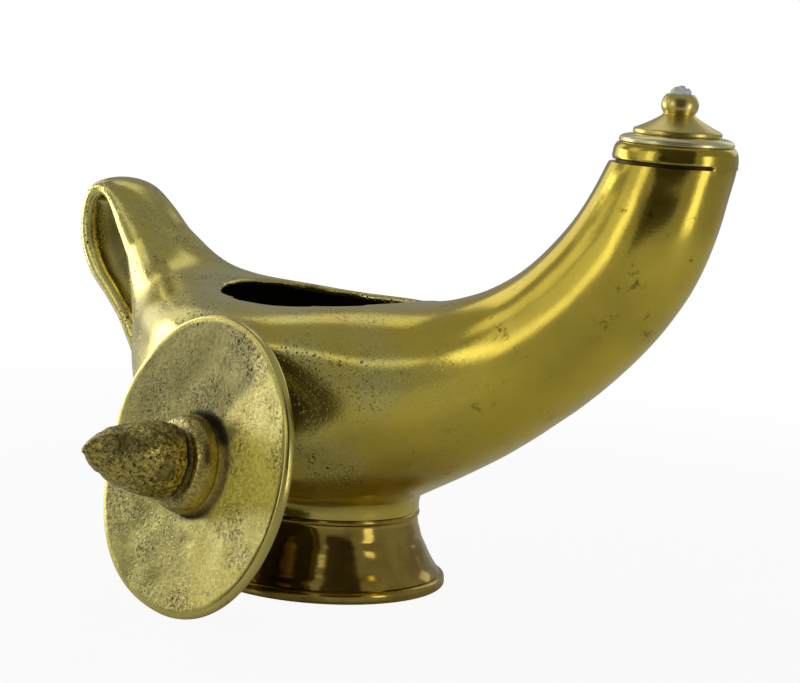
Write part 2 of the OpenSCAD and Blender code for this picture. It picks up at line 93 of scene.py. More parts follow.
@dataclass(frozen=True)
class Waves:
    """A smooth random field: the sum of plane waves of about one length, in random directions.

    Attributes:
        length: Wavelength of the middle of the band.
        count: Number of waves.
        seed: Seed of the random directions and phases.
    """

    length: float
    count: int
    seed: int

    def at(self, points: Array) -> Array:
        """f(p) = sqrt(2 / count) * sum of sin(k . p + phase), with |k| near 2 pi / length.

        Args:
            points: An array whose last axis is x, y, z in millimetres.

        Returns:
            The field at the points, with a spread of about one.
        """
        rng = np.random.default_rng(self.seed)
        ways = rng.normal(size=(self.count, 3))
        ways /= np.linalg.norm(ways, axis=1, keepdims=True)
        ways *= 2 * math.pi / (self.length * rng.uniform(0.7, 1.5, size=(self.count, 1)))
        phases = rng.uniform(0, 2 * math.pi, self.count)
        total = np.zeros(points.shape[:-1])
        for way, phase in zip(ways, phases):
            total += np.sin(points @ way + phase)
        return total * math.sqrt(2 / self.count)


def smoothstep(low: float, high: float, value: Array) -> Array:
    """3 t^2 - 2 t^3 with t running from 0 at low to 1 at high."""
    t = np.clip((value - low) / (high - low), 0, 1)
    return t * t * (3 - 2 * t)


def faired(rows: Array, steps: int) -> Array:
    """Catmull-Rom curve through the rows: on each span, the cubic with the neighbours' chord as its slope.

    Args:
        rows: Control rows, one per line.
        steps: Points per span.

    Returns:
        (len(rows) - 1) * steps + 1 rows, the control rows among them.
    """
    padded = np.vstack([2 * rows[0] - rows[1], rows, 2 * rows[-1] - rows[-2]])
    a, b, c, d = padded[:-3, None], padded[1:-2, None], padded[2:-1, None], padded[3:, None]
    t = (np.arange(steps) / steps)[None, :, None]
    square, cube = 2 * a - 5 * b + 4 * c - d, 3 * b - a - 3 * c + d
    spans = 0.5 * (2 * b + (c - a) * t + square * t**2 + cube * t**3)
    return np.vstack([spans.reshape(-1, rows.shape[1]), rows[-1:]])


def eased(rows: Array, spread: float) -> Array:
    """The rows smoothed along their length by a Gaussian, with both ends held by odd mirroring.

    Args:
        rows: Values, one row per station.
        spread: Standard deviation of the Gaussian, in rows.

    Returns:
        As many rows.
    """
    reach = int(3 * spread)
    offsets = np.arange(-reach, reach + 1)
    weights = np.exp(-0.5 * (offsets / spread) ** 2)
    before = 2 * rows[:1] - rows[reach:0:-1]
    after = 2 * rows[-1:] - rows[-2 : -reach - 2 : -1]
    padded = np.vstack([before, rows, after])
    windows = np.lib.stride_tricks.sliding_window_view(padded, len(offsets), axis=0)
    return windows @ (weights / weights.sum())


def bezier(controls: Array, t: Array) -> Array:
    """Cubic Bezier point: (1-t)^3 p0 + 3 (1-t)^2 t p1 + 3 (1-t) t^2 p2 + t^3 p3."""
    t = np.asarray(t, float)[..., None]
    p = np.asarray(controls, float).reshape(4, -1)
    return (1 - t) ** 3 * p[0] + 3 * (1 - t) ** 2 * t * p[1] + 3 * (1 - t) * t**2 * p[2] + t**3 * p[3]


def run_along(path: Array) -> Array:
    """Length walked along a path at each of its points."""
    return np.r_[0, np.cumsum(np.linalg.norm(np.diff(path, axis=0), axis=1))]


def section_rings(rows: Array, count: int) -> Array:
    """Superellipse rings over sections.

    A section is [top x, top z, foot x, foot z, half width, level, power up, power down].
    A point at angle a lies at y = half width * |cos a|^(2/p) and at |sin a|^(2/p) of the way from the widest
    level to the section's top or foot, with p the power of its half, and each power keeps the sine's sign.

    Args:
        rows: One section per line, z counted from the foot's seat.
        count: Points round each ring.

    Returns:
        Points of shape (sections, count, 3).
    """
    top, foot, half_width, level, power_up, power_down = np.split(rows, (2, 4, 5, 6, 7), axis=1)
    tall = np.linalg.norm(top - foot, axis=1, keepdims=True)
    up = (top - foot) / tall
    middle = foot + level * (top - foot)
    a = 2 * math.pi * (np.arange(count) + 0.5) / count
    sine, cosine = np.sin(a)[None, :], np.cos(a)[None, :]
    above = sine > 0
    power = 2 / np.where(above, power_up, power_down)
    share = np.where(above, 1 - level, level)
    rise = share * tall * np.sign(sine) * np.abs(sine) ** power
    side = half_width * np.sign(cosine) * np.abs(cosine) ** power
    return np.stack([middle[:, 0:1] + up[:, 0:1] * rise, side, middle[:, 1:2] + up[:, 1:2] * rise], axis=-1)


def turned_rings(profile: Sequence[tuple[float, float]] | Array, count: int) -> Array:
    """Rings of a turned shape: (r cos a, r sin a, z) for each profile point (r, z) and angle a.

    Args:
        profile: Radius and height of each ring.
        count: Points round each ring.

    Returns:
        Points of shape (profile points, count, 3).
    """
    outline = np.asarray(profile, float)
    a = 2 * math.pi * np.arange(count) / count
    r, z = outline[:, 0:1], outline[:, 1:2]
    return np.stack([r * np.cos(a), r * np.sin(a), z + 0 * a[None, :]], axis=-1)


def rounded(outline: Sequence[Triple], step: float = 0.25, curve_points: int = 7) -> Array:
    """An outline with its corners rounded by quadratic curves, walked in short steps.

    Each corner (r, z, round) is replaced by the curve (1-t)^2 a + 2 t (1-t) corner + t^2 b, with a and b
    on its two sides at the distance of its rounding.

    Args:
        outline: Radius, height and rounding of every corner. The first and last aren't rounded.
        step: Longest step along the straights.
        curve_points: Points on each rounded corner.

    Returns:
        Outline points as (r, z) rows.
    """
    rows = np.asarray(outline, float)
    points, size = rows[:, :2], rows[:, 2]
    path: list[Array] = [points[:1]]
    t = np.linspace(0, 1, curve_points)[:, None]
    for before, here, after, radius in zip(points[:-2], points[1:-1], points[2:], size[1:-1]):
        to_before, to_after = before - here, after - here
        near, far = np.linalg.norm(to_before), np.linalg.norm(to_after)
        cut = min(radius, near * 0.5, far * 0.5)
        a, b = here + to_before / near * cut, here + to_after / far * cut
        path.append((1 - t) ** 2 * a + 2 * t * (1 - t) * here + t**2 * b if cut > TINY else here[None, :])
    path.append(points[-1:])
    line = np.vstack(path)
    gaps = np.linalg.norm(np.diff(line, axis=0), axis=1)
    parts = np.maximum(1, np.ceil(gaps / step).astype(int))
    runs = [p + (q - p) * (np.arange(n) / n)[:, None] for p, q, n in zip(line[:-1], line[1:], parts)]
    return np.vstack(runs + [line[-1:]])


def grid_normals(rings: Array) -> Array:
    """Unit normals of a ring grid, from the cross product of its two central differences."""
    around = np.roll(rings, -1, axis=1) - np.roll(rings, 1, axis=1)
    along = np.gradient(rings, axis=0)
    normal = np.cross(around, along)
    return normal / np.maximum(np.linalg.norm(normal, axis=-1, keepdims=True), 1e-9)


def axis_of(frame: Matrix) -> dict[str, Triple]:
    """A millimetre frame as the turn and the origin in metres that a turned finish takes."""
    return {"turn": tuple(frame.to_euler()), "origin": tuple(frame.translation * MM)}


def placed(points: Array, matrix: Matrix) -> Array:
    """The points moved by a 4x4 matrix in millimetres."""
    m = np.array(matrix)
    return points @ m[:3, :3].T + m[:3, 3]


def linked(name: str, data: bpy.types.ID) -> bpy.types.Object:
    """A new object of that name over its data, linked to the scene."""
    obj = bpy.data.objects.new(name, data)
    bpy.context.scene.collection.objects.link(obj)
    return obj


def loft(name: str, rings: Array, ends: Ends, sharp_deg: float = 60) -> bpy.types.Object:
    """A mesh object over a grid of rings, with its faces pointing out.

    Args:
        name: Name of the piece.
        rings: Points of shape (rings, points, 3) in millimetres.
        ends: How the end rings are closed.
        sharp_deg: Edges steeper than this are shaded sharp.

    Returns:
        The object, linked to the scene.
    """
    rows, cols = rings.shape[:2]
    i, k = np.meshgrid(np.arange(rows if ends is Ends.LOOP else rows - 1), np.arange(cols), indexing="ij")
    j, m = (i + 1) % rows, (k + 1) % cols
    quads = np.stack([i * cols + k, i * cols + m, j * cols + m, j * cols + k], axis=-1).reshape(-1, 4)
    points, fans = rings.reshape(-1, 3), []
    if ends is Ends.FAN:
        # the two middle points come after the rings' points
        near, far = rows * cols, rows * cols + 1
        points = np.vstack([points, rings[0].mean(0), rings[-1].mean(0)])
        here, after = np.arange(cols), (np.arange(cols) + 1) % cols
        last = (rows - 1) * cols
        fans = np.stack([after, here, np.full(cols, near)], axis=-1).tolist()
        fans += np.stack([last + here, last + after, np.full(cols, far)], axis=-1).tolist()
    mesh = bpy.data.meshes.new(name)
    mesh.from_pydata((points * MM).tolist(), [], quads.tolist() + fans)
    mesh.validate()
    obj = linked(name, mesh)
    face_out(mesh)
    shade(mesh, sharp_deg)
    return obj


def signed_volume(mesh: bpy.types.Mesh) -> float:
    """Volume of a closed mesh: the sum over its triangles of a . (b x c) / 6."""
    mesh.calc_loop_triangles()
    corners = np.empty(len(mesh.loop_triangles) * 3, dtype=np.int32)
    mesh.loop_triangles.foreach_get("vertices", corners)
    tri = vertices_of(mesh)[corners.reshape(-1, 3)]
    return float(np.einsum("ij,ij->i", tri[:, 0], np.cross(tri[:, 1], tri[:, 2])).sum() / 6)


def face_out(mesh: bpy.types.Mesh) -> None:
    """Turns a closed mesh right side out if its volume comes out negative."""
    if signed_volume(mesh) < 0:
        mesh.flip_normals()


def shade(mesh: bpy.types.Mesh, sharp_deg: float) -> None:
    """Smooth shading, with edges steeper than the angle kept sharp."""
    mesh.shade_smooth()
    mesh.set_sharp_from_angle(angle=math.radians(sharp_deg))


def vertices_of(mesh: bpy.types.Mesh) -> Array:
    """The mesh's vertices as an array of shape (n, 3), in metres."""
    flat = np.empty(len(mesh.vertices) * 3)
    mesh.vertices.foreach_get("co", flat)
    return flat.reshape(-1, 3)


def normals_of(mesh: bpy.types.Mesh) -> Array:
    """The mesh's vertex normals as an array of shape (n, 3)."""
    flat = np.empty(len(mesh.vertices) * 3)
    mesh.vertex_normals.foreach_get("vector", flat)
    return flat.reshape(-1, 3)


def set_vertices(mesh: bpy.types.Mesh, points_m: Array) -> None:
    """Moves the mesh's vertices to the given places in metres."""
    mesh.vertices.foreach_set("co", points_m.ravel())
    mesh.update()


def add_attribute(mesh: bpy.types.Mesh, name: str, values: Array) -> None:
    """Stores one number or vector per vertex under a name that materials can read."""
    kind = "FLOAT" if values.ndim == 1 else "FLOAT_VECTOR"
    field = "value" if values.ndim == 1 else "vector"
    mesh.attributes.new(name, kind, "POINT").data.foreach_set(field, values.ravel())


def add_ring_attributes(obj: bpy.types.Object, **fields: Array) -> None:
    """Stores attributes on a lofted piece.

    Args:
        obj: The piece.
        **fields: One number or vector per ring point. A fan's middle points take the first and the last.
    """
    for name, values in fields.items():
        flat = values.reshape(-1, 3) if values.ndim == 3 else values.reshape(-1)
        if len(obj.data.vertices) > len(flat):
            flat = np.concatenate([flat, flat[:1], flat[-1:]])
        add_attribute(obj.data, name, flat)


def with_modifier(obj: bpy.types.Object, kind: str, **settings: object) -> None:
    """Adds a modifier, bakes its result into the mesh and removes it.

    Args:
        obj: The object.
        kind: Blender's modifier type.
        **settings: Its properties.
    """
    modifier = obj.modifiers.new(kind.title(), kind)
    for key, value in settings.items():
        setattr(modifier, key, value)
    graph = bpy.context.evaluated_depsgraph_get()
    mesh = bpy.data.meshes.new_from_object(obj.evaluated_get(graph))
    obj.modifiers.clear()
    old, obj.data = obj.data, mesh
    bpy.data.meshes.remove(old)
    mesh.name = obj.name


def combine(obj: bpy.types.Object, other: bpy.types.Object, operation: str) -> None:
    """Joins or cuts one closed solid with another, which is then thrown away."""
    with_modifier(obj, "BOOLEAN", object=other, operation=operation, solver="MANIFOLD")
    bpy.data.meshes.remove(other.data)


# ---------------------------------------------------------------------------------------------------------
# Shader maths
# ---------------------------------------------------------------------------------------------------------
class Value:
    """A number that varies over the surface: a node's output socket, with arithmetic."""

    def __init__(self, graph: Graph, socket: bpy.types.NodeSocket) -> None:
        """Keeps the node tree under construction and the socket."""
        self.graph = graph
        self.socket = socket

    def _math(self, operation: str, *operands: Value | float) -> Value:
        """A Math node on the operands."""
        return self.graph.node("ShaderNodeMath", {"operation": operation}, dict(enumerate(operands)))

    def __add__(self, other: Value | float) -> Value:
        """self + other."""
        return self._math("ADD", self, other)

    __radd__ = __add__

    def __sub__(self, other: Value | float) -> Value:
        """self - other."""
        return self._math("SUBTRACT", self, other)

    def __rsub__(self, other: float) -> Value:
        """other - self."""
        return self._math("SUBTRACT", other, self)

    def __mul__(self, other: Value | float) -> Value:
        """self * other."""
        return self._math("MULTIPLY", self, other)

    __rmul__ = __mul__

    def most(self, other: Value | float) -> Value:
        """The larger of the two."""
        return self._math("MAXIMUM", self, other)

    def between(self, low: float, high: float, to_low: float = 0.0, to_high: float = 1.0) -> Value:
        """The value mapped along a smooth step, and held at the ends.

        Args:
            low: Where the step starts. It may lie above high.
            high: Where the step ends.
            to_low: The result at low.
            to_high: The result at high.

        Returns:
            The mapped value.
        """
        return self.graph.node(
            "ShaderNodeMapRange",
            {"interpolation_type": "SMOOTHSTEP"},
            {"Value": self, "From Min": low, "From Max": high, "To Min": to_low, "To Max": to_high},
        )


class Graph:
    """A node tree under construction, of a material or the world."""

    def __init__(self, owner: bpy.types.Material | bpy.types.World, output: str) -> None:
        """Empties the owner's tree and gives it its output.

        Args:
            owner: The material or the world.
            output: Type of the output node.
        """
        owner.use_nodes = True
        self.tree = owner.node_tree
        self.tree.nodes.clear()
        self.output = self.tree.nodes.new(output)

    def show(self, surface: Value) -> None:
        """Makes a shader the tree's surface."""
        self.tree.links.new(surface.socket, self.output.inputs["Surface"])

    def node(
        self,
        kind: str,
        settings: dict[str, object] | None = None,
        inputs: dict[str | int, object] | None = None,
        output: str | int = 0,
    ) -> Value:
        """Adds any node.

        Args:
            kind: The node's type.
            settings: Its properties, set first.
            inputs: Values or links of its sockets, by name or number.
            output: The socket to return.

        Returns:
            The chosen output as a Value.
        """
        made = self.tree.nodes.new(kind)
        for key, value in (settings or {}).items():
            setattr(made, key, value)
        for key, value in (inputs or {}).items():
            if isinstance(value, Value):
                self.tree.links.new(value.socket, made.inputs[key])
            else:
                made.inputs[key].default_value = value
        return Value(self, made.outputs[output])


class Shader(Graph):
    """One material under construction, on a Principled BSDF."""

    def __init__(self, name: str) -> None:
        """Starts a material of that name."""
        self.material = bpy.data.materials.new(name)
        super().__init__(self.material, "ShaderNodeOutputMaterial")
        self.principled = self.node("ShaderNodeBsdfPrincipled")
        self.show(self.principled)
        self.place = self.node("ShaderNodeTexCoord", output="Object")

    def attribute(self, name: str, output: str = "Fac") -> Value:
        """A mesh attribute of the piece."""
        return self.node("ShaderNodeAttribute", {"attribute_name": name}, output=output)

    def stretched(self, scale: Triple, turn: Triple, origin: Triple) -> Value:
        """Object coordinates seen from a turned frame at origin, in metres, and scaled along its axes.

        Args:
            scale: Scale along each axis of the turned frame.
            turn: Turn of that frame in radians.
            origin: Its origin, in metres.

        Returns:
            The vector. A TEXTURE mapping takes its place and turn as those of the pattern.
        """
        local = self.node("ShaderNodeMapping", {"vector_type": "TEXTURE"},
                          {"Vector": self.place, "Location": origin, "Rotation": turn})
        return self.node("ShaderNodeVectorMath", {"operation": "MULTIPLY"}, {0: local, 1: scale})

    def noise(
        self, scale: float, detail: float = 2.0, rough: float = 0.5, place: Value | None = None
    ) -> Value:
        """Fractal noise from 0 to 1 about 0.5.

        Args:
            scale: Cells per metre.
            detail: How many finer layers are added.
            rough: Strength of each layer over the last.
            place: The vector it reads, in place of the object coordinates.

        Returns:
            The noise.
        """
        inputs = {"Vector": place or self.place, "Scale": scale, "Detail": detail, "Roughness": rough}
        return self.node("ShaderNodeTexNoise", inputs=inputs)

    def cells(self, scale: float) -> Value:
        """Distance to the nearest of scattered points, in cells, with scale in cells per metre."""
        inputs = {"Vector": self.place, "Scale": scale}
        return self.node("ShaderNodeTexVoronoi", inputs=inputs, output="Distance")

    def dots(self, scale: float, core: float, edge: float) -> Value:
        """Scattered round dots: 1 within core of each cell's point, falling to 0 at edge."""
        return self.cells(scale).between(core, edge, 1.0, 0.0)

    def blend(self, factor: Value | float, a: Value | Colour, b: Value | Colour) -> Value:
        """Colour a where factor is 0 and colour b where it is 1."""
        a, b = (colour if isinstance(colour, Value) else (*colour, 1.0) for colour in (a, b))
        # a Mix node's colour sockets are its seventh and eighth inputs and its third output
        return self.node("ShaderNodeMix", {"data_type": "RGBA"}, {0: factor, 6: a, 7: b}, output=2)

    def bump(self, height: Value, depth_m: float, strength: float = 1.0, under: Value | None = None) -> Value:
        """A normal bent by a height field.

        Args:
            height: The field, from 0 to 1.
            depth_m: Its full depth in metres.
            strength: How much of it shows.
            under: The normal that it bends, in place of the surface's own.

        Returns:
            The normal.
        """
        inputs: dict[str | int, object] = {"Height": height, "Distance": depth_m, "Strength": strength}
        if under is not None:
            inputs["Normal"] = under
        return self.node("ShaderNodeBump", inputs=inputs)

    def finish_with(self, **sockets: object) -> bpy.types.Material:
        """Sets the Principled sockets, by their names with _ for a space, and returns the material."""
        for key, value in sockets.items():
            socket = self.principled.socket.node.inputs[key.replace("_", " ")]
            if isinstance(value, Value):
                self.tree.links.new(value.socket, socket)
            else:
                socket.default_value = (*value, 1.0) if isinstance(value, tuple) else value
        return self.material


# ---------------------------------------------------------------------------------------------------------
# Finishes
# ---------------------------------------------------------------------------------------------------------
@dataclass(frozen=True)
class CastBrass:
    """Sand-cast brass, ground and polished by hand, with pits where the sand shows.

    It reads four mesh attributes: "sand", where the skin of the casting was left, a mask of painted shade,
    where the colour is darkened to paint shade and dark reflections in recesses, on backs and on faces turned
    from the light, a mask of painted highlight, where a pale, less metallic colour paints a highlight, and
    "flow", the place that polishing lines follow. One that a mesh lacks counts as nought.

    Attributes:
        name: The material's name.
        clean: Colour of the polished metal.
        aged: Colour where the lacquer and handling have browned it.
        pale: Colour of the sandy skin, which scatters more.
        painted_highlight: Colour of the painted highlight.
        dirt: Colour in the pits, and of the painted shade.
        polish: Roughness of the polished metal.
        matte: Roughness that the sandy skin adds.
        speckle: Share of fine dark grains on the sandy skin.
        mottle: Share of dark low ground between the sand's crests.
        grain: Depth of the sand grain in metres.
        ground: Depth in metres of the shallow hollows left by grinding.
        scratch: Depth in metres of the polishing lines.
        pit: Depth of the pits in metres.
    """

    name: str
    clean: Colour = (0.82, 0.635, 0.085)
    aged: Colour = (0.58, 0.44, 0.065)
    pale: Colour = (0.74, 0.66, 0.22)
    painted_highlight: Colour = (1.0, 0.84, 0.15)
    dirt: Colour = (0.040, 0.028, 0.012)
    polish: float = 0.17
    matte: float = 0.05
    speckle: float = 0.5
    mottle: float = 0.15
    grain: float = 0.00005
    ground: float = 0.00005
    scratch: float = 0.000016
    pit: float = 0.00018

    def make(self) -> bpy.types.Material:
        """Builds the material."""
        s = Shader(self.name)
        where, soot, painted_highlight = s.attribute("sand"), s.attribute("soot"), s.attribute("painted_highlight")
        lines = s.noise(900, 4, 0.6, s.attribute("flow", "Vector"))
        cloud, patches = s.noise(22, 3, 0.55), s.noise(75, 4, 0.6)
        sand, low = s.noise(1500, 3, 0.6), s.noise(850, 4, 0.7)
        # pits of two sizes and fine specks, which crowd where the sand shows
        density = where * s.noise(60, 3, 0.6).between(0.3, 0.7, 0.25, 1.0)
        small = s.dots(950, 0.14, 0.32) * density.between(0.22, 0.62)
        large = s.dots(300, 0.09, 0.17) * density.between(0.30, 0.6)
        pits = small.most(large)
        specks = s.noise(2100, 3, 0.7).between(0.54, 0.61) * density.between(0.05, 0.7) * self.speckle
        stain = s.noise(170, 5, 0.8).between(0.58, 0.67) * patches.between(0.42, 0.56)
        stain = stain * s.noise(3400, 2, 0.6).between(0.3, 0.55)
        tone = s.blend(cloud.between(0.35, 0.7), self.clean, self.aged)
        tone = s.blend(where.between(0.15, 0.8) * 0.9, tone, self.pale)
        tone = s.blend(sand.between(0.45, 0.8) * where * 0.3, tone, self.aged)
        # painted highlight: a pale bright colour where the highlight mask lies
        tone = s.blend(painted_highlight, tone, self.painted_highlight)
        tone = s.blend(low.between(0.56, 0.42) * where * self.mottle, tone, self.dirt)
        tone = s.blend((stain * 0.75).most(specks).most(pits * 0.9), tone, self.dirt)
        # painted shade: the pits' dark colour where the shade mask lies
        tone = s.blend(soot, tone, self.dirt)
        rough = self.polish + where * self.matte + (lines - 0.5) * 0.12
        rough = rough + (patches - 0.5) * 0.08 + pits * 0.3 + soot * 0.3
        surface = s.bump(s.noise(130, 2, 0.5), self.ground, 0.6)
        surface = s.bump(s.noise(420, 3, 0.6), self.ground * 0.4, 0.6, surface)
        surface = s.bump(lines, self.scratch, 0.6, surface)
        surface = s.bump(low * where, self.grain * 2.5 * self.mottle, 0.9, surface)
        surface = s.bump(sand * (where + 0.3), self.grain, 0.9, surface)
        surface = s.bump(1 - pits, self.pit, 0.8, surface)
        # the painted highlight is also less metallic, so its pale colour shows whatever the light
        metal = 1 - painted_highlight * (1 - pits) * (1 - specks * 0.7) * 0.85
        return s.finish_with(Base_Color=tone, Metallic=metal, Roughness=rough, Normal=surface)


@dataclass(frozen=True)
class TurnedBrass:
    """Brass as it comes off a lathe: fine rings round an axis, and a satin or polished gloss.

    Attributes:
        name: The material's name.
        clean: Colour of the metal.
        aged: Colour of its browned patches.
        gloss: Roughness.
        groove: Depth of the tool marks in metres.
        pitch: Tool marks per metre.
        dirt: Colour of its specks.
        turn: Direction of the axis, as a turn of +Z in radians.
        origin: A point on the axis, in metres.
    """

    name: str
    clean: Colour
    aged: Colour
    gloss: float
    groove: float
    pitch: float = 2200
    dirt: Colour = (0.06, 0.04, 0.02)
    turn: Triple = (0, 0, 0)
    origin: Triple = (0, 0, 0)

    def make(self) -> bpy.types.Material:
        """Builds the material."""
        s = Shader(self.name)
        # noise squeezed across the axis becomes rings round it
        axial = s.stretched((0.012, 0.012, 1), self.turn, self.origin)
        marks = s.noise(self.pitch, 3, 0.7, axial)
        broad = s.noise(self.pitch / 5, 2, 0.5, axial)
        cloud = s.noise(70, 3, 0.6)
        specks = s.dots(900, 0.08, 0.18) * s.noise(160, 2).between(0.58, 0.7)
        tone = s.blend(cloud.between(0.35, 0.75) * 0.7 + (marks - 0.5) * 0.5, self.clean, self.aged)
        tone = s.blend(specks * 0.7, tone, self.dirt)
        rough = self.gloss + (marks - 0.5) * 0.12 + (cloud - 0.5) * 0.08 + specks * 0.3
        surface = s.bump(broad, self.groove * 2, 0.6)
        surface = s.bump(marks, self.groove, 0.8, surface)
        return s.finish_with(Base_Color=tone, Metallic=1.0, Roughness=rough, Normal=surface)


@dataclass(frozen=True)
class Cotton:
    """Plaited cotton, white, soiled in places and darker between its strands."""

    name: str
    white: Colour = (0.93, 0.93, 0.91)
    soiled: Colour = (0.78, 0.77, 0.72)
    shade: Colour = (0.55, 0.53, 0.48)

    def make(self) -> bpy.types.Material:
        """Builds the material."""
        s = Shader(self.name)
        fibres, strands = s.noise(2600, 4, 0.7), s.cells(1100)
        tone = s.blend(s.noise(400, 2).between(0.35, 0.75) * 0.5, self.white, self.soiled)
        tone = s.blend(strands.between(0.35, 0.75) * 0.25, tone, self.shade)
        surface = s.bump(fibres, 0.0002, 0.8)
        surface = s.bump(1 - strands, 0.0003, 0.7, surface)
        return s.finish_with(Base_Color=tone, Roughness=0.95, Normal=surface, Specular_IOR_Level=0.2)


@dataclass(frozen=True)
class Leather:
    """Oiled leather, brown with darker clouds and a fine grain."""

    name: str
    brown: Colour = (0.20, 0.10, 0.045)
    dark: Colour = (0.09, 0.045, 0.02)

    def make(self) -> bpy.types.Material:
        """Builds the material."""
        s = Shader(self.name)
        grain = s.cells(1400)
        tone = s.blend(s.noise(300, 3), self.brown, self.dark)
        surface = s.bump(grain, 0.00012, 0.7)
        return s.finish_with(Base_Color=tone, Roughness=0.5 + grain * 0.3, Normal=surface)


class Finishes:
    """The finishes of this lamp, each made once."""

    def __init__(self, mouth: Mouth, lid: Lid) -> None:
        """Builds every material.

        Args:
            mouth: The mouth, whose axis the burner's tool marks run round.
            lid: The lid, whose axis those of its fixings run round.
        """
        self.casting = CastBrass("body_cast_brass").make()
        self.lid = CastBrass(
            "lid_cast_brass", clean=(0.80, 0.70, 0.20), aged=(0.56, 0.47, 0.12), pale=(0.76, 0.68, 0.21),
            polish=0.20, matte=0.07, speckle=1.0, mottle=0.55, grain=0.00008, ground=0.00002,
        ).make()
        self.finial = CastBrass(
            "finial_cast_brass", clean=(0.72, 0.57, 0.13), aged=(0.42, 0.32, 0.08), pale=(0.66, 0.54, 0.15),
            dirt=(0.05, 0.04, 0.015), polish=0.18, matte=0.0, speckle=0.7, mottle=0.65, grain=0.00010,
        ).make()
        # painted shade: the foot's brass is coloured darker than the rest, standing in for dark reflections
        self.foot = TurnedBrass(
            "foot_brass_painted_dark", clean=(0.52, 0.38, 0.08), aged=(0.24, 0.15, 0.03), gloss=0.13,
            groove=0.000012,
        ).make()
        self.satin = TurnedBrass(
            "burner_satin_brass", clean=(0.82, 0.68, 0.22), aged=(0.66, 0.52, 0.14), gloss=0.30,
            groove=0.000014, **mouth.axis(),
        ).make()
        self.flange = TurnedBrass(
            "flange_pale_brass", clean=(0.92, 0.88, 0.50), aged=(0.80, 0.72, 0.34), gloss=0.28,
            groove=0.000014, **mouth.axis(),
        ).make()
        self.hidden = TurnedBrass(
            "fixing_brass", clean=(0.66, 0.53, 0.2), aged=(0.40, 0.29, 0.1), gloss=0.34, groove=0.00002,
            **lid.axis(),
        ).make()
        self.screw = TurnedBrass(
            "foot_screw_brass", clean=(0.5, 0.38, 0.15), aged=(0.26, 0.18, 0.07), gloss=0.4, groove=0.00002
        ).make()
        self.cotton = Cotton("wick_cotton").make()
        self.leather = Leather("seal_leather").make()


def dress(obj: bpy.types.Object, material: bpy.types.Material) -> None:
    """Gives an object one material in place of what it has."""
    obj.data.materials.clear()
    obj.data.materials.append(material)


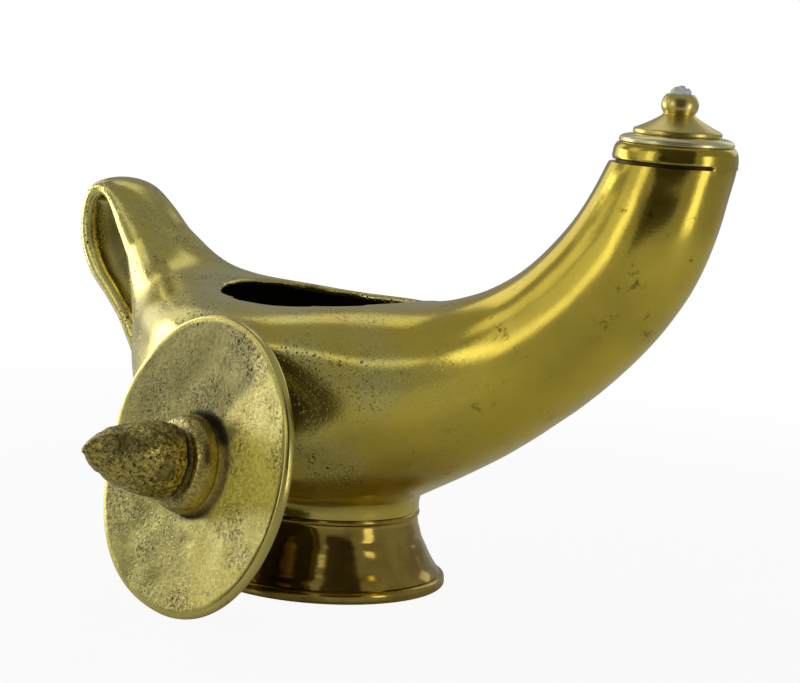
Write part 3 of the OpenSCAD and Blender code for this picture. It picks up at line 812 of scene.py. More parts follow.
# ---------------------------------------------------------------------------------------------------------
# The body: bowl, horn, tail and handle in one cast skin
# ---------------------------------------------------------------------------------------------------------
@dataclass
class Body:
    """The casting: a boat-shaped bowl that runs out into a horn, and a loop handle from its tail.

    A section is [top x, top z, foot x, foot z, half width, level, power up, power down], with z counted
    from the seat on the foot.

    Attributes:
        foot: The foot that it stands on.
        mouth: What its horn ends in.
        bowl_h: Height of the bowl's rim above the seat.
        half_w: Half the bowl's width.
        wall: The wall's thickness.
        floor_t: The floor's thickness over the foot.
        hole_r: Radius of the filling hole.
        hole_back: How far the hole lies behind the foot's axis.
        mouth_r: The horn's radius at its mouth.
        horn_start: Control point of the horn's centre line in the bowl, with its height from the rim.
        horn_bend: The next one, where the horn starts to rise.
        horn_pull: How far before the mouth the third one lies.
        horn_arrival: The line's lean there.
        horn_radii: Control values of the horn's radius before the mouth's.
        half_grip: Half the handle's width.
        limb_t: Thickness of the handle's outer limb.
        facing: Length that the horn has over its mouth before it is faced off.
        seat_r: Radius of the seat ring.
        cell: Size of the cells that fuse the casting.
    """

    foot: Foot
    mouth: Mouth
    bowl_h: float = 60.6
    half_w: float = 51
    wall: float = 3
    floor_t: float = 4
    hole_r: float = 30.2
    hole_back: float = 5
    mouth_r: float = 16
    horn_start: tuple[float, float] = (14.9, -30.1)
    horn_bend: tuple[float, float] = (60.1, -16.8)
    horn_pull: float = 44.7
    horn_arrival: float = math.radians(15.4)
    horn_radii: Triple = (32.8, 14.4, 21.8)
    half_grip: float = 9.5
    limb_t: float = 5.4
    facing: float = 1.6
    seat_r: float = 26.7
    cell: float = 1.05

    @property
    def foot_h(self) -> float:
        """Height of the seat above the table."""
        return self.foot.height

    def over_seat(self, x: float = 0) -> Matrix:
        """Millimetre frame upright on the seat."""
        return Matrix.Translation((x, 0, self.foot_h))

    def horn_section(self, t: float, wider: float, level: float, raised: float = 0.0) -> Array:
        """A section of the horn, square to its Bezier centre line and level with the mouth at its end.

        Args:
            t: Place on the centre line, from 0 in the bowl to 1 at the mouth.
            wider: Half width over radius.
            level: Share of the section's height at which it is widest.
            raised: How far it is lifted along the mouth's axis.

        Returns:
            The section.
        """
        mouth = np.array([self.mouth.x, self.mouth.z - self.foot_h])
        mouth_way = np.array([math.sin(self.mouth.lean), math.cos(self.mouth.lean)])
        arrival_way = np.array([math.sin(self.horn_arrival), math.cos(self.horn_arrival)])
        rim = np.array([0, self.bowl_h])
        arrival = mouth - self.horn_pull * arrival_way
        line = np.array([rim + self.horn_start, rim + self.horn_bend, arrival, mouth])
        radius = float(bezier(np.array([*self.horn_radii, self.mouth_r]), t)[0])
        # the derivative of the line, turned into the mouth's axis over the last stretch
        legs = np.diff(line, axis=0)
        way = 3 * ((1 - t) ** 2 * legs[0] + 2 * (1 - t) * t * legs[1] + t * t * legs[2])
        turn = t**6
        way = (1 - turn) * way / np.linalg.norm(way) + turn * mouth_way
        way /= np.linalg.norm(way)
        side = np.array([-way[1], way[0]]) * radius
        centre = bezier(line, t) + raised * mouth_way
        return np.array([*(centre + side), *(centre - side), radius * wider, level, 2, 2])

    def hull_rows(self) -> Array:
        """The hull's sections, from the handle's root to the mouth."""
        h, w = self.bowl_h, self.half_w
        rows = [
            self.root_row(),
            [-54.5, h + 6.9, -71.5, h - 17, w * 0.36, 0.54, 2.3, 2.2],
            [-42.5, h + 2.9, -60, h - 39.5, w * 0.63, 0.62, 2.6, 2.2],
            [-24, h + 0.9, -36, 2.6, w * 0.92, 0.7, 3, 2.2],
            [0, h, 0, -2, w, 0.73, 3.2, 2.2],
            [19, h + 0.8, 22, 1.8, w * 0.88, 0.68, 2.8, 2.1],
        ]
        horn = [(0.25, 1.3, 0.56), (0.4, 1.14, 0.53), (0.55, 1.05, 0.5), (0.7, 1.01, 0.5), (0.85, 1, 0.5)]
        rows += [self.horn_section(*station) for station in horn]
        return np.array(rows + [self.horn_section(1, 1, 0.5, self.facing)], float)

    def root_row(self) -> list[float]:
        """The section where the handle leaves the tail."""
        return [-66, self.bowl_h + 15.7, -79.5, self.bowl_h + 1.4, 12.5, 0.5, 2.2, 2.2]

    def cavity_rows(self) -> Array:
        """The hollow's sections: the hull's, moved in by the wall, with a narrower back and mouth."""
        back = np.array([-47, self.bowl_h + 5, -62, self.bowl_h - 36, self.half_w * 0.56, 0.6, 2.4, 2.2])
        end = self.horn_section(0.955, 1, 0.5)
        rows = [self.inset(back, self.wall + 1)]
        rows += [self.inset(row, self.wall) for row in self.hull_rows()[3:11]]
        return np.array(rows + [self.inset(end, self.mouth_r - self.mouth.bore_r + 0.9)])

    @staticmethod
    def inset(row: Array, amount: float) -> Array:
        """A section moved in by amount at its top, its foot and both sides."""
        moved = row.copy()
        tall = row[0:2] - row[2:4]
        up = tall / np.linalg.norm(tall) * amount
        moved[0:2] -= up
        moved[2:4] += up
        moved[4] -= amount
        return moved

    def limb_row(self, x: float, z: float, slope_deg: float, half_width: float) -> list[float]:
        """A section of the handle's outer limb, with half its thickness outside and more inside.

        Args:
            x: Place of the limb's middle.
            z: Its height above the seat.
            slope_deg: How far the section is turned from level.
            half_width: Half its width.

        Returns:
            The section.
        """
        slope = math.radians(slope_deg)
        ox, oz = -math.cos(slope) * self.limb_t / 2, math.sin(slope) * self.limb_t / 2
        return [x + ox, z + oz, x - 1.5 * ox, z - 1.5 * oz, half_width, 0.5, 3.2, 3.2]

    def handle_rows(self) -> Array:
        """The loop's sections, from the root over the top and down into the stern."""
        h, g = self.bowl_h, self.half_grip
        rows = [
            self.root_row(),
            [-73.5, h + 22.4, -84.5, h + 10.9, g + 2.2, 0.5, 2.2, 2.2],
            [-82.5, h + 27.9, -88, h + 18.9, g + 1.4, 0.5, 2.2, 2.2],
            [-91, h + 29, -91, h + 21.4, g + 0.8, 0.5, 2.2, 2.2],
        ]
        limb = [(-95.4, 22.9, 42, 0.4), (-97.6, 15.4, 8, 0), (-96.6, 7.4, -14, 0), (-92.4, -0.6, -38, 0),
                (-85.8, -7.6, -45, 0), (-79.2, -14.8, -38, 0), (-73.6, -23, -32, 0), (-67.2, -32.5, -36, 0),
                (-58, -43, -42, -2)]
        rows += [self.limb_row(x, h + z, slope, g + wider) for x, z, slope, wider in limb]
        return np.array(rows, float)

    def solid(self, name: str, rows: Array, steps: int, count: int, ease: float = 0) -> bpy.types.Object:
        """A closed solid over faired sections, lifted onto the foot.

        Args:
            name: Its name.
            rows: The sections.
            steps: Sections put in per span.
            count: Points round each section.
            ease: Spread, in sections, of the smoothing along the length.

        Returns:
            The solid.
        """
        run = faired(rows, steps)
        rings = section_rings(eased(run, ease) if ease else run, count)
        return loft(name, rings + ALONG_AXIS * self.foot_h, Ends.FAN)

    @staticmethod
    def block(
        name: str, half: tuple[float, float], low: float, high: float, frame: Matrix
    ) -> bpy.types.Object:
        """A plain cutting block about a frame's axis.

        Args:
            name: Its name.
            half: Half its sizes along the frame's X and Y.
            low: Where it starts on the axis.
            high: Where it ends.
            frame: The millimetre frame.

        Returns:
            The block.
        """
        (x, y), heights = half, np.array([[low], [high]])
        ring = np.array([[-x, -y, 0], [x, -y, 0], [x, y, 0], [-x, y, 0]])
        return loft(name, placed(ring + heights[..., None] * ALONG_AXIS, frame), Ends.FAN)

    @staticmethod
    def drill(
        name: str, radius: float, low: float, high: float, frame: Matrix, count: int
    ) -> bpy.types.Object:
        """A round bar about a frame's axis, to cut or to join.

        Args:
            name: Its name.
            radius: Its radius.
            low: Where it starts on the axis.
            high: Where it ends.
            frame: The millimetre frame.
            count: Points round it.

        Returns:
            The bar.
        """
        rings = turned_rings([(radius, low), (radius, high)], count)
        return loft(name, placed(rings, frame), Ends.FAN)

    def build(self) -> bpy.types.Object:
        """Joins hull, seat ring and handle, cuts them hollow, and fuses and rounds them like a casting."""
        seat = self.over_seat()
        skin = self.solid("body_casting", self.hull_rows(), 12, 128, ease=4)
        combine(skin, self.drill("seat_ring", self.seat_r, -3, 6, seat, 192), "UNION")
        combine(skin, self.solid("loop", self.handle_rows(), 8, 72), "UNION")
        hollow = self.solid("hollow", self.cavity_rows(), 8, 96)
        combine(hollow, self.block("below_floor", (150, 90), -82, self.floor_t, seat), "DIFFERENCE")
        combine(skin, hollow, "DIFFERENCE")
        hole = self.drill("hole", self.hole_r, self.bowl_h - 14, 108, self.over_seat(-self.hole_back), 160)
        combine(skin, hole, "DIFFERENCE")
        with_modifier(skin, "REMESH", mode="VOXEL", voxel_size=self.cell * MM, use_smooth_shade=True)
        with_modifier(skin, "SMOOTH", factor=0.5, iterations=8)
        self.rumple(skin.data)
        self.face_off(skin)
        self.mark(skin.data)
        shade(skin.data, 50)
        return skin

    def rumple(self, mesh: bpy.types.Mesh) -> None:
        """Moves the skin along its normals by hand-ground waves, less near the seat and the mouth."""
        points = vertices_of(mesh) / MM
        over_mouth = placed(points, self.mouth.frame().inverted())[:, 2]
        calm = smoothstep(1, 8, -over_mouth) * smoothstep(0.5, 6, points[:, 2] - self.foot_h)
        lift = 0.10 * Waves(34, 20, 3).at(points) + 0.03 * Waves(12, 24, 5).at(points) - 0.18
        points += normals_of(mesh) * (lift * calm)[:, None]
        set_vertices(mesh, points * MM)

    def face_off(self, skin: bpy.types.Object) -> None:
        """Cuts the seat flat, faces and bores the mouth, and drills the screw's way."""
        seat, mouth = self.over_seat(), self.mouth.frame()
        for cutter in (
            self.block("under_seat", (70, 70), -32, 0, seat),
            self.block("over_mouth", (30, 30), 0, 30, mouth),
            self.drill("bore", self.mouth.bore_r, -self.mouth.bore_l, 3, mouth, 96),
            self.drill("screw_way", self.foot.screw_r, -3, self.floor_t + 4, seat, 64),
        ):
            combine(skin, cutter, "DIFFERENCE")

    def mark(self, mesh: bpy.types.Mesh) -> None:
        """Writes where the sand shows, where painted shade lies, and the place that polishing follows."""
        points, normals = vertices_of(mesh) / MM, normals_of(mesh)
        # sand shows towards the tail, and in a cluster of pits on the side behind the lid's edge
        sand = smoothstep(95, -40, points[:, 0]) * 0.75 + 0.16
        cluster, spread = np.array([28, -38, 64]), np.array([20, 16, 9])
        sand += 0.45 * np.exp(-(((points - cluster) / spread) ** 2).sum(1))
        sand *= 0.6 + 0.4 * smoothstep(-1, 1, Waves(22, 16, 11).at(points))
        add_attribute(mesh, "sand", np.clip(sand, 0, 1))
        along, off = self.from_middle(points)
        up = np.sign(off[:, 1]) * np.linalg.norm(off, axis=1)
        add_attribute(mesh, "flow", np.c_[along * 0.05, points[:, 1], up] * MM)
        add_attribute(mesh, "soot", self.sooted(points, normals, np.c_[off[:, 0], points[:, 1], off[:, 1]]))

    def from_middle(self, points: Array) -> tuple[Array, Array]:
        """Where points lie by the hull's middle line, seen from the side.

        The line's points are weighed by exp(-(d^2 - least d^2) / 60), with d their distance, so that the
        answer runs smoothly from one to the next.

        Args:
            points: Places in millimetres.

        Returns:
            The length along the line, and the x and z from it.
        """
        rows = faired(self.hull_rows(), 12)
        middle = np.c_[(rows[:, 0] + rows[:, 2]) / 2, (rows[:, 1] + rows[:, 3]) / 2 + self.foot_h]
        flat = points[:, [0, 2]]
        square = (flat**2).sum(1)[:, None] - 2 * flat @ middle.T + (middle**2).sum(1)[None]
        weight = np.exp(-(square - square.min(1, keepdims=True)) / 60)
        weight /= weight.sum(1, keepdims=True)
        return weight @ run_along(middle), flat - weight @ middle

    def sooted(self, points: Array, normals: Array, from_middle: Array) -> Array:
        """Painted shade deepens below the filling hole's rim on the inside, and lies in the handle's loop.

        Args:
            points: Places in millimetres.
            normals: Normals there.
            from_middle: The points as seen from the middle of their section.

        Returns:
            Painted shade from 0 to 1.
        """
        reach = np.linalg.norm(from_middle, axis=1)
        inward = -(normals * from_middle).sum(1) / np.maximum(reach, TINY)
        rim = self.foot_h + self.bowl_h + 1.4
        bright_edge = 2.2 + 4 * smoothstep(-35, 5, points[:, 0])
        # painted shade inside the bowl, deepening below a band under the rim that is left bright
        inside = smoothstep(-0.05, 0.25, inward) * smoothstep(-66, -60, points[:, 0])
        well = inside * smoothstep(0, 9, rim - points[:, 2] - bright_edge) * 0.9
        # painted shade on the faces inside the handle's loop
        to_loop = np.array([-87.0, 0, 90]) - points
        distance = np.linalg.norm(to_loop[:, [0, 2]], axis=1)
        facing = (normals * to_loop).sum(1) / np.maximum(distance, TINY)
        loop = smoothstep(0.3, 0.8, facing) * smoothstep(26, 18, distance) * smoothstep(-5, 1, points[:, 1])
        return np.clip(np.maximum(well, 0.6 * loop), 0, 1)


# ---------------------------------------------------------------------------------------------------------
# Foot
# ---------------------------------------------------------------------------------------------------------
@dataclass
class Foot:
    """The turned foot: a band at the table, a hollow sweep, and a bead under the bowl.

    Attributes:
        foot_r: Radius of the band.
        height: Height of the foot.
        band_h: Height of the band.
        neck_r: Radius of the sweep's top.
        bead_r: Radius of the bead.
        bead_h: Height of the bead.
        rim_w: Thickness of the wall at the table.
        core_h: Height of the hollow underneath.
        boss_r: Radius of the boss that takes the screw.
        screw_r: Radius of the screw's hole.
        screw_end: Height of the hole's blind end.
        sweep_power: How fast the sweep flares.
    """

    foot_r: float = 35.5
    height: float = 22
    band_h: float = 3.3
    neck_r: float = 26.5
    bead_r: float = 27
    bead_h: float = 2
    rim_w: float = 5
    core_h: float = 13
    boss_r: float = 12
    screw_r: float = 4.05
    screw_end: float = 10.8
    sweep_power: float = 1.5

    def build(self) -> bpy.types.Object:
        """Turns the foot, hollow underneath, with a blind hole for its screw."""
        outline = np.vstack([self.underside_and_band(), self.sweep_and_bead(), self.seat()])
        rings = turned_rings(outline, 192)
        # hand-turned ridges, none on the underside or the seat
        hand = smoothstep(22, 25, np.linalg.norm(rings[..., :2], axis=-1)) * smoothstep(0.3, 3, rings[..., 2])
        hand = hand * smoothstep(self.height - 0.2, self.height - 4, rings[..., 2])
        tool_marks = Waves(3, 18, 22).at(rings * (0.12 * ACROSS_AXIS + ALONG_AXIS))
        ridges = 0.05 * Waves(18, 16, 21).at(rings) + 0.045 * tool_marks
        rings = rings + grid_normals(rings) * (hand * (ridges - 0.1))[..., None]
        return loft("turned_foot", rings, Ends.FAN, 45)

    def underside_and_band(self) -> Array:
        """The outline from the boss through the hollow to the top of the band."""
        r, inner_r, top = self.foot_r, self.neck_r - self.rim_w, self.band_h
        return rounded([
            (POLE, 0, 0), (self.boss_r - 0.5, 0, 0.2), (self.boss_r, 0.4, 0.6),
            (self.boss_r + 0.8, self.core_h, 1), (inner_r, self.core_h, 2), (r - self.rim_w, 0, 0.6),
            (r - 0.7, 0, 0.5), (r, 0.6, 0.5), (r, top - 0.8, 0.6), (r - 0.6, top, 0.5),
            (r - 1.8, top + 0.1, 0),
        ])

    def sweep_and_bead(self) -> Array:
        """The sweep, r = neck + flare * (1 - t)^power, and the round bead over it."""
        t = np.linspace(0, 1, 40)[:, None]
        low, high = self.band_h + 0.3, self.height - self.bead_h
        flare = (self.foot_r - 1.6 - self.neck_r) * (1 - t) ** self.sweep_power
        sweep = np.c_[self.neck_r + flare, low + (high - low) * t]
        a = np.radians(np.linspace(-60, 75, 24))
        round_r = self.bead_h / 2
        middle_r, middle_h = self.bead_r - round_r, self.height - round_r
        return np.vstack([sweep, np.c_[middle_r + round_r * np.cos(a), middle_h + round_r * np.sin(a)]])

    def seat(self) -> Array:
        """The outline from the bead over the seat into the screw's hole."""
        hole_r, top, end = self.screw_r, self.height, self.screw_end
        return rounded([
            (self.bead_r - self.bead_h / 2, top, 0), (hole_r + 0.25, top, 0.2), (hole_r, top - 0.1, 0.1),
            (hole_r, end, 0), (POLE, end, 0),
        ])


# ---------------------------------------------------------------------------------------------------------
# Mouth: collar, burner and wick
# ---------------------------------------------------------------------------------------------------------
@dataclass
class Mouth:
    """What sits on the horn's mouth, all turned about the mouth's axis.

    Attributes:
        x: Place of the mouth's middle along the lamp.
        z: Its height above the table.
        lean: How far the mouth leans forward.
        side: How far it leans to the side.
        groove_h: Height of the dark groove under the collar.
        collar_h: Height of the collar above the groove.
        collar_r: Radius of the collar.
        collar_bore_r: Radius of its bore.
        bore_r: Radius of the horn's bore, in which its spigot sits.
        bore_l: Depth of that bore.
        spigot_gap: How much smaller the spigot's radius is.
        spigot_l: Length of the spigot.
        flush_at: Degrees round the axis of the place where the groove has run out.
        flange_r: Radius of the burner's flange.
        flange_t: Height of the flange at the cap's rim.
        plug_r: Radius of the hole for the plug in flange and cap.
        recess_h: Height of that hole's roof above the collar.
        cap_r: Radius of the cap.
        neck_r: Radius of the neck under the ball.
        neck_up: Height of the neck above the flange.
        ball_r: Radius of the ball.
        ball_h: Height of the ball from the neck to its hole.
        ball_hole_r: Radius of the hole for the wick.
        wick_r: Radius of the wick at its strands' crests.
    """

    x: float = 105
    z: float = 126.6
    lean: float = math.radians(2)
    side: float = math.radians(2.5)
    groove_h: float = 0.8
    collar_h: float = 4.6
    collar_r: float = 16.1
    collar_bore_r: float = 9.5
    bore_r: float = 12.5
    bore_l: float = 8.5
    spigot_gap: float = 0.05
    spigot_l: float = 7
    flush_at: float = 30
    flange_r: float = 14.7
    flange_t: float = 2.2
    plug_r: float = 6.05
    recess_h: float = 3.6
    cap_r: float = 11.3
    neck_r: float = 3.95
    neck_up: float = 5.5
    ball_r: float = 4.75
    ball_h: float = 4.9
    ball_hole_r: float = 3.5
    wick_r: float = 2.88

    def frame(self) -> Matrix:
        """Millimetre frame with +Z along the mouth's axis and 0 at the horn's top face."""
        turn = Matrix.Rotation(self.lean, 4, "Y") @ Matrix.Rotation(self.side, 4, "X")
        return Matrix.Translation((self.x, 0, self.z)) @ turn

    def axis(self) -> dict[str, tuple[float, float, float]]:
        """The axis for a turned finish."""
        return axis_of(self.frame())

    @property
    def top(self) -> float:
        """Height of the collar's top, where the flange lies."""
        return self.groove_h + self.collar_h

    @property
    def ball_top(self) -> float:
        """Height of the hole in the ball."""
        return self.top + self.flange_t + self.neck_up + self.ball_h

    def turned(self, name: str, profile: Array, sharp: float = 35) -> bpy.types.Object:
        """A turned ring-shaped piece on the mouth's axis, from a closed profile."""
        return loft(name, placed(turned_rings(profile, 160), self.frame()), Ends.LOOP, sharp)

    def collar(self) -> bpy.types.Object:
        """The collar, with the dark groove under it, which runs out on the bow side, and a rounded top."""
        r, g, top = self.collar_r, self.groove_h, self.top
        bore, spigot, low = self.collar_bore_r, self.bore_r - self.spigot_gap, -self.spigot_l
        groove_r, face = r - 1.1, -0.02
        profile = rounded([
            (bore, low, 0), (spigot, low, 0.3), (spigot, face, 0.05), (groove_r, face, 0.05),
            (groove_r, g, 0.05), (r - 0.25, g, 0.3), (r - 0.06, g + 0.7, 0.5), (r - 0.35, top - 1.3, 0.8),
            (r - 1.2, top, 1.0), (bore + 0.3, top, 0.2), (bore, top - 0.4, 0.2), (bore, low + 0.1, 0),
        ])
        rings = turned_rings(profile, 256)
        height, across = rings[..., 2], np.linalg.norm(rings[..., :2], axis=-1)
        # the groove is filled where it has run out, and raggedly at the ends of that stretch
        angle = np.degrees(np.arctan2(rings[..., 1], rings[..., 0]))
        away = np.abs((angle - self.flush_at + 180) % 360 - 180)
        flush = smoothstep(62, 48, away + 3 * Waves(5, 12, 33).at(rings))
        groove = (height > -0.1) & (height < g + 0.35) & (across > r - 1.2)
        ragged = (1 - flush) * smoothstep(-0.4, 0.9, Waves(4, 20, 34).at(rings)) * (height < g)
        filled_r = r - 0.14 - 0.75 * ragged
        move = np.where(groove & (flush > 0), flush * np.maximum(filled_r - across, 0), 0)
        lip = smoothstep(0.2, 1.4, height) * smoothstep(12, 14, across)
        move += lip * (0.05 * Waves(9, 14, 31).at(rings) - 0.06)
        rings = rings + rings / across[..., None] * ACROSS_AXIS * move[..., None]
        obj = loft("spout_collar_band", placed(rings, self.frame()), Ends.LOOP, 40)
        # painted shade in the groove under the collar, except where the groove has run out
        add_ring_attributes(
            obj, sand=np.full(across.shape, 0.12), soot=groove * (1 - flush) * 0.95,
            flow=rings * np.array([1, 1, 0.2]) * MM,
        )
        return obj

    def flange(self) -> bpy.types.Object:
        """The flange under the cap: a thin edge and a low dome, a quarter ellipse up to the cap's rim."""
        z, r, seat = self.top, self.flange_r, self.cap_r - 0.7
        a = np.radians(np.linspace(0, 86, 16))
        dome = np.c_[seat + (r - 0.1 - seat) * np.cos(a), z + 0.8 + (self.flange_t - 0.8) * np.sin(a)]
        edge = rounded([
            (self.plug_r, z + self.flange_t, 0), (self.plug_r, z, 0), (r - 0.25, z, 0.1), (r, z + 0.25, 0.2),
            (r, z + 0.7, 0.2),
        ])
        return self.turned("burner_flange_disc", np.vstack([edge, dome, [[seat, z + self.flange_t]]]))

    def cap(self) -> bpy.types.Object:
        """The cap: thin rim, hollow-sided cone, bright neck line and flattened ball.

        The cone's radius is neck + flare * (1 - t)^1.25. The ball is an ellipse from the neck to its hole.
        """
        z, rim, roof = self.top + self.flange_t, self.cap_r, self.top + self.recess_h
        t = np.linspace(0, 1, 26)
        cone_r, neck_z = self.neck_r + 0.1, z + self.neck_up
        cone = np.c_[cone_r + (rim - 0.5 - cone_r) * (1 - t) ** 1.25, z + 1.5 + 3.85 * t]
        low, high = -math.acos(self.neck_r / self.ball_r), math.acos(self.ball_hole_r / self.ball_r)
        tall = self.ball_h / (math.sin(high) - math.sin(low))
        a = np.linspace(low, high, 40)
        ball = np.c_[self.ball_r * np.cos(a), neck_z + tall * (np.sin(a) - math.sin(low))]
        plate = rounded([
            (self.ball_hole_r, roof, 0), (self.plug_r, roof, 0), (self.plug_r, z, 0.05),
            (rim - 0.35, z, 0.15), (rim, z + 0.3, 0.25), (rim, z + 1.2, 0.25), (rim - 0.4, z + 1.5, 0),
        ])
        neck, hole = [[self.neck_r + 0.02, neck_z - 0.1]], [[self.ball_hole_r, ball[-1, 1] - 0.3]]
        return self.turned("burner_cap_and_ball", np.vstack([plate, cone[1:], neck, ball, hole]), 40)

    def on_axis(self, heights: Array | float) -> Array:
        """Points on the mouth's axis at heights above the horn's face."""
        way = np.array(self.frame().to_3x3() @ Vector((0, 0, 1)))
        return np.array(self.frame().translation) + np.asarray(heights, float)[..., None] * way

    def wick(self) -> bpy.types.Object:
        """The wick: three strands plaited round a path from its frayed tip down the horn into the bowl.

        A point at angle a has the radius r (0.92 + 0.08 |sin 1.5 (a - twist)|), with the twist growing
        along the path.
        """
        # the tip is a dome of rings, each with its height below the wick's end and its share of the radius
        tip = np.array([
            (0, 0.05), (0.12, 0.34), (0.3, 0.52), (0.6, 0.68), (1.0, 0.82), (1.5, 0.93), (2.0, 0.98),
        ])
        start, pull = self.ball_top - 36, self.ball_top - 56
        line = np.array([self.on_axis(start), self.on_axis(pull), [80, 0, 75], [48, 0, 50]])
        straight = self.on_axis(np.linspace(self.ball_top - 0.2, start, 60)[:-1])
        path = np.vstack([
            self.on_axis(self.ball_top + 2.3 - tip[:, 0]), straight, bezier(line, np.linspace(0, 1, 70)),
        ])
        shares = np.r_[tip[:, 1], np.ones(len(path) - len(tip))]
        run = run_along(path)
        way = np.gradient(path, axis=0)
        way /= np.linalg.norm(way, axis=1, keepdims=True)
        n = np.cross(way, [0, 1, 0])
        n /= np.linalg.norm(n, axis=1, keepdims=True)
        m = np.cross(n, way)
        a = 2 * math.pi * np.arange(48) / 48
        strand = 0.92 + 0.08 * np.abs(np.sin(1.5 * (a[None] - run[:, None] * 0.5)))
        r = self.wick_r * shares[:, None] * strand
        round_path = np.cos(a)[None, :, None] * m[:, None] + np.sin(a)[None, :, None] * n[:, None]
        rings = path[:, None] + r[..., None] * round_path
        # the tip frays: it spreads by a hundredth at most, and its ends fall unevenly
        fray = smoothstep(2.6, 0.4, run)[:, None] * Waves(2.2, 24, 41).at(rings) * 0.3
        rings += (rings - path[:, None]) * (np.minimum(fray, 0.03) / 3)[..., None]
        rings -= (self.on_axis(1) - self.on_axis(0)) * (np.abs(fray) * 0.8)[..., None]
        return loft("plaited_wick", rings, Ends.FAN, 80)


# ---------------------------------------------------------------------------------------------------------
# Lid and finial
# ---------------------------------------------------------------------------------------------------------
@dataclass
class Lid:
    """The loose lid: a pitted plate with a ground rim and an acorn finial.

    Attributes:
        radius: Radius of the plate.
        thick: Its thickness at the rim.
        rim_w: Width of the smooth rim.
        dish: How far the frame's face falls from the rim to its middle.
        dish_more: How much deeper the cast face falls.
        lean: How far the lid leans back against the bowl.
        turn: How far its face is turned from -Y.
        x: Place of its middle along the lamp.
        plane: How far its back lies out along its face's direction.
        pad_h: Height of the pad under the finial over the frame's face.
        stud_r: Radius of the hole for the stud.
        knob_l: Length of the finial.
        knob_r: Radius of its acorn.
        ring_r: Radius of its moulding.
        bulge: How much fuller the rim is at its lower left.
        bulge_at: Degrees round the face of that place.
        bulge_half: Half its width in degrees.
        around: Points round the plate.
    """

    radius: float = 40.4
    thick: float = 3
    rim_w: float = 2.2
    dish: float = 0.9
    dish_more: float = 1.0
    lean: float = math.radians(10.4)
    turn: float = math.radians(13.7)
    x: float = 4.8
    plane: float = 0
    pad_h: float = 1.4
    stud_r: float = 3.05
    knob_l: float = 32.8
    knob_r: float = 10.25
    ring_r: float = 13.25
    bulge: float = 2.2
    bulge_at: float = 222
    bulge_half: float = 46
    around: int = 300

    def frame(self) -> Matrix:
        """Millimetre frame with +Z out of the lid's face and 0 at its back, whose rim stands on the table."""
        out = self.out()
        up = Vector((0, 0, 1)) - out * out.z
        z = self.radius * up.normalized().z
        y = (self.plane - out.x * self.x - out.z * z) / out.y
        turn = Matrix.Rotation(-self.turn, 4, "Z") @ Matrix.Rotation(math.pi / 2 - self.lean, 4, "X")
        return Matrix.Translation((self.x, y, z)) @ turn

    def axis(self) -> dict[str, tuple[float, float, float]]:
        """The axis for a turned finish."""
        return axis_of(self.frame())

    def lean_on(self, plate: bpy.types.Object) -> None:
        """Reads how far the back of the frame's plate lies out along the lid's face direction."""
        self.plane = float((vertices_of(plate.data) @ np.array(self.out())).min() / MM)

    def out(self) -> Vector:
        """Outward direction of the face."""
        flat = math.cos(self.lean)
        return Vector((-math.sin(self.turn) * flat, -math.cos(self.turn) * flat, math.sin(self.lean)))

    @property
    def pad_top(self) -> float:
        """Height of the pad that the finial stands on."""
        return self.thick - self.dish + self.pad_h

    def plate_outline(self) -> Array:
        """The plate's outline: ground rim, dished face, and a pad under the finial with a hollow foot.

        The face falls by depth * (0.55 s + 0.45 sin(pi s / 2)) from the rim, s = 0, to the pad, s = 1.
        """
        r, t, depth, pad = self.radius, self.thick, self.dish + self.dish_more, self.pad_top
        s = np.linspace(0, 1, 90)
        outer_r, inner_r = r - self.rim_w, self.ring_r + 0.9
        fall = depth * (0.55 * s + 0.45 * np.sin(s * math.pi / 2))
        face = np.c_[outer_r + (inner_r - outer_r) * s, t - fall]
        slope = np.linspace(0, 1, 16)[1:-1]
        pad_foot = np.c_[inner_r - 1.1 * slope, t - depth + (pad - t + depth) * slope**2]
        rim = rounded([
            (self.stud_r, 0, 0), (r - 0.9, 0, 0.6), (r - 0.05, 0.7, 0.7), (r - 0.15, t - 0.7, 0.5),
            (r - 0.75, t, 0.35), (outer_r, t, 0.4),
        ])
        pad_face = rounded([(self.ring_r - 0.3, pad, 0), (self.stud_r, pad, 0)])
        return np.vstack([rim[:-1], face, pad_foot, pad_face])

    def plate(self) -> bpy.types.Object:
        """The plate: its outline turned, the rim fuller at the lower left, and the face lumpy with sand."""
        rings = turned_rings(self.plate_outline(), self.around)
        across = np.linalg.norm(rings[..., :2], axis=-1)
        angle = np.degrees(np.arctan2(rings[..., 1], rings[..., 0])) % 360
        reach = np.clip((angle - self.bulge_at) / self.bulge_half, -1, 1)
        fuller = self.bulge * np.cos(reach * math.pi / 2) ** 2 * smoothstep(20, self.radius - 1, across)
        rings = rings * (1 + (fuller / np.maximum(across, 1))[..., None] * ACROSS_AXIS)
        low = self.thick - self.dish - self.dish_more - 0.5
        on_face = smoothstep(self.radius - 1.2, self.radius - 2.6, across) * (rings[..., 2] > low)
        on_face = on_face * smoothstep(3.2, 5, across)
        lumps = 0.04 * Waves(11, 26, 51).at(rings) - 0.06
        rings = rings + ALONG_AXIS * (lumps * on_face)[..., None]
        obj = loft("lid_disc", placed(rings, self.frame()), Ends.LOOP, 50)
        add_ring_attributes(obj, **self.plate_marks(rings, across, on_face))
        return obj

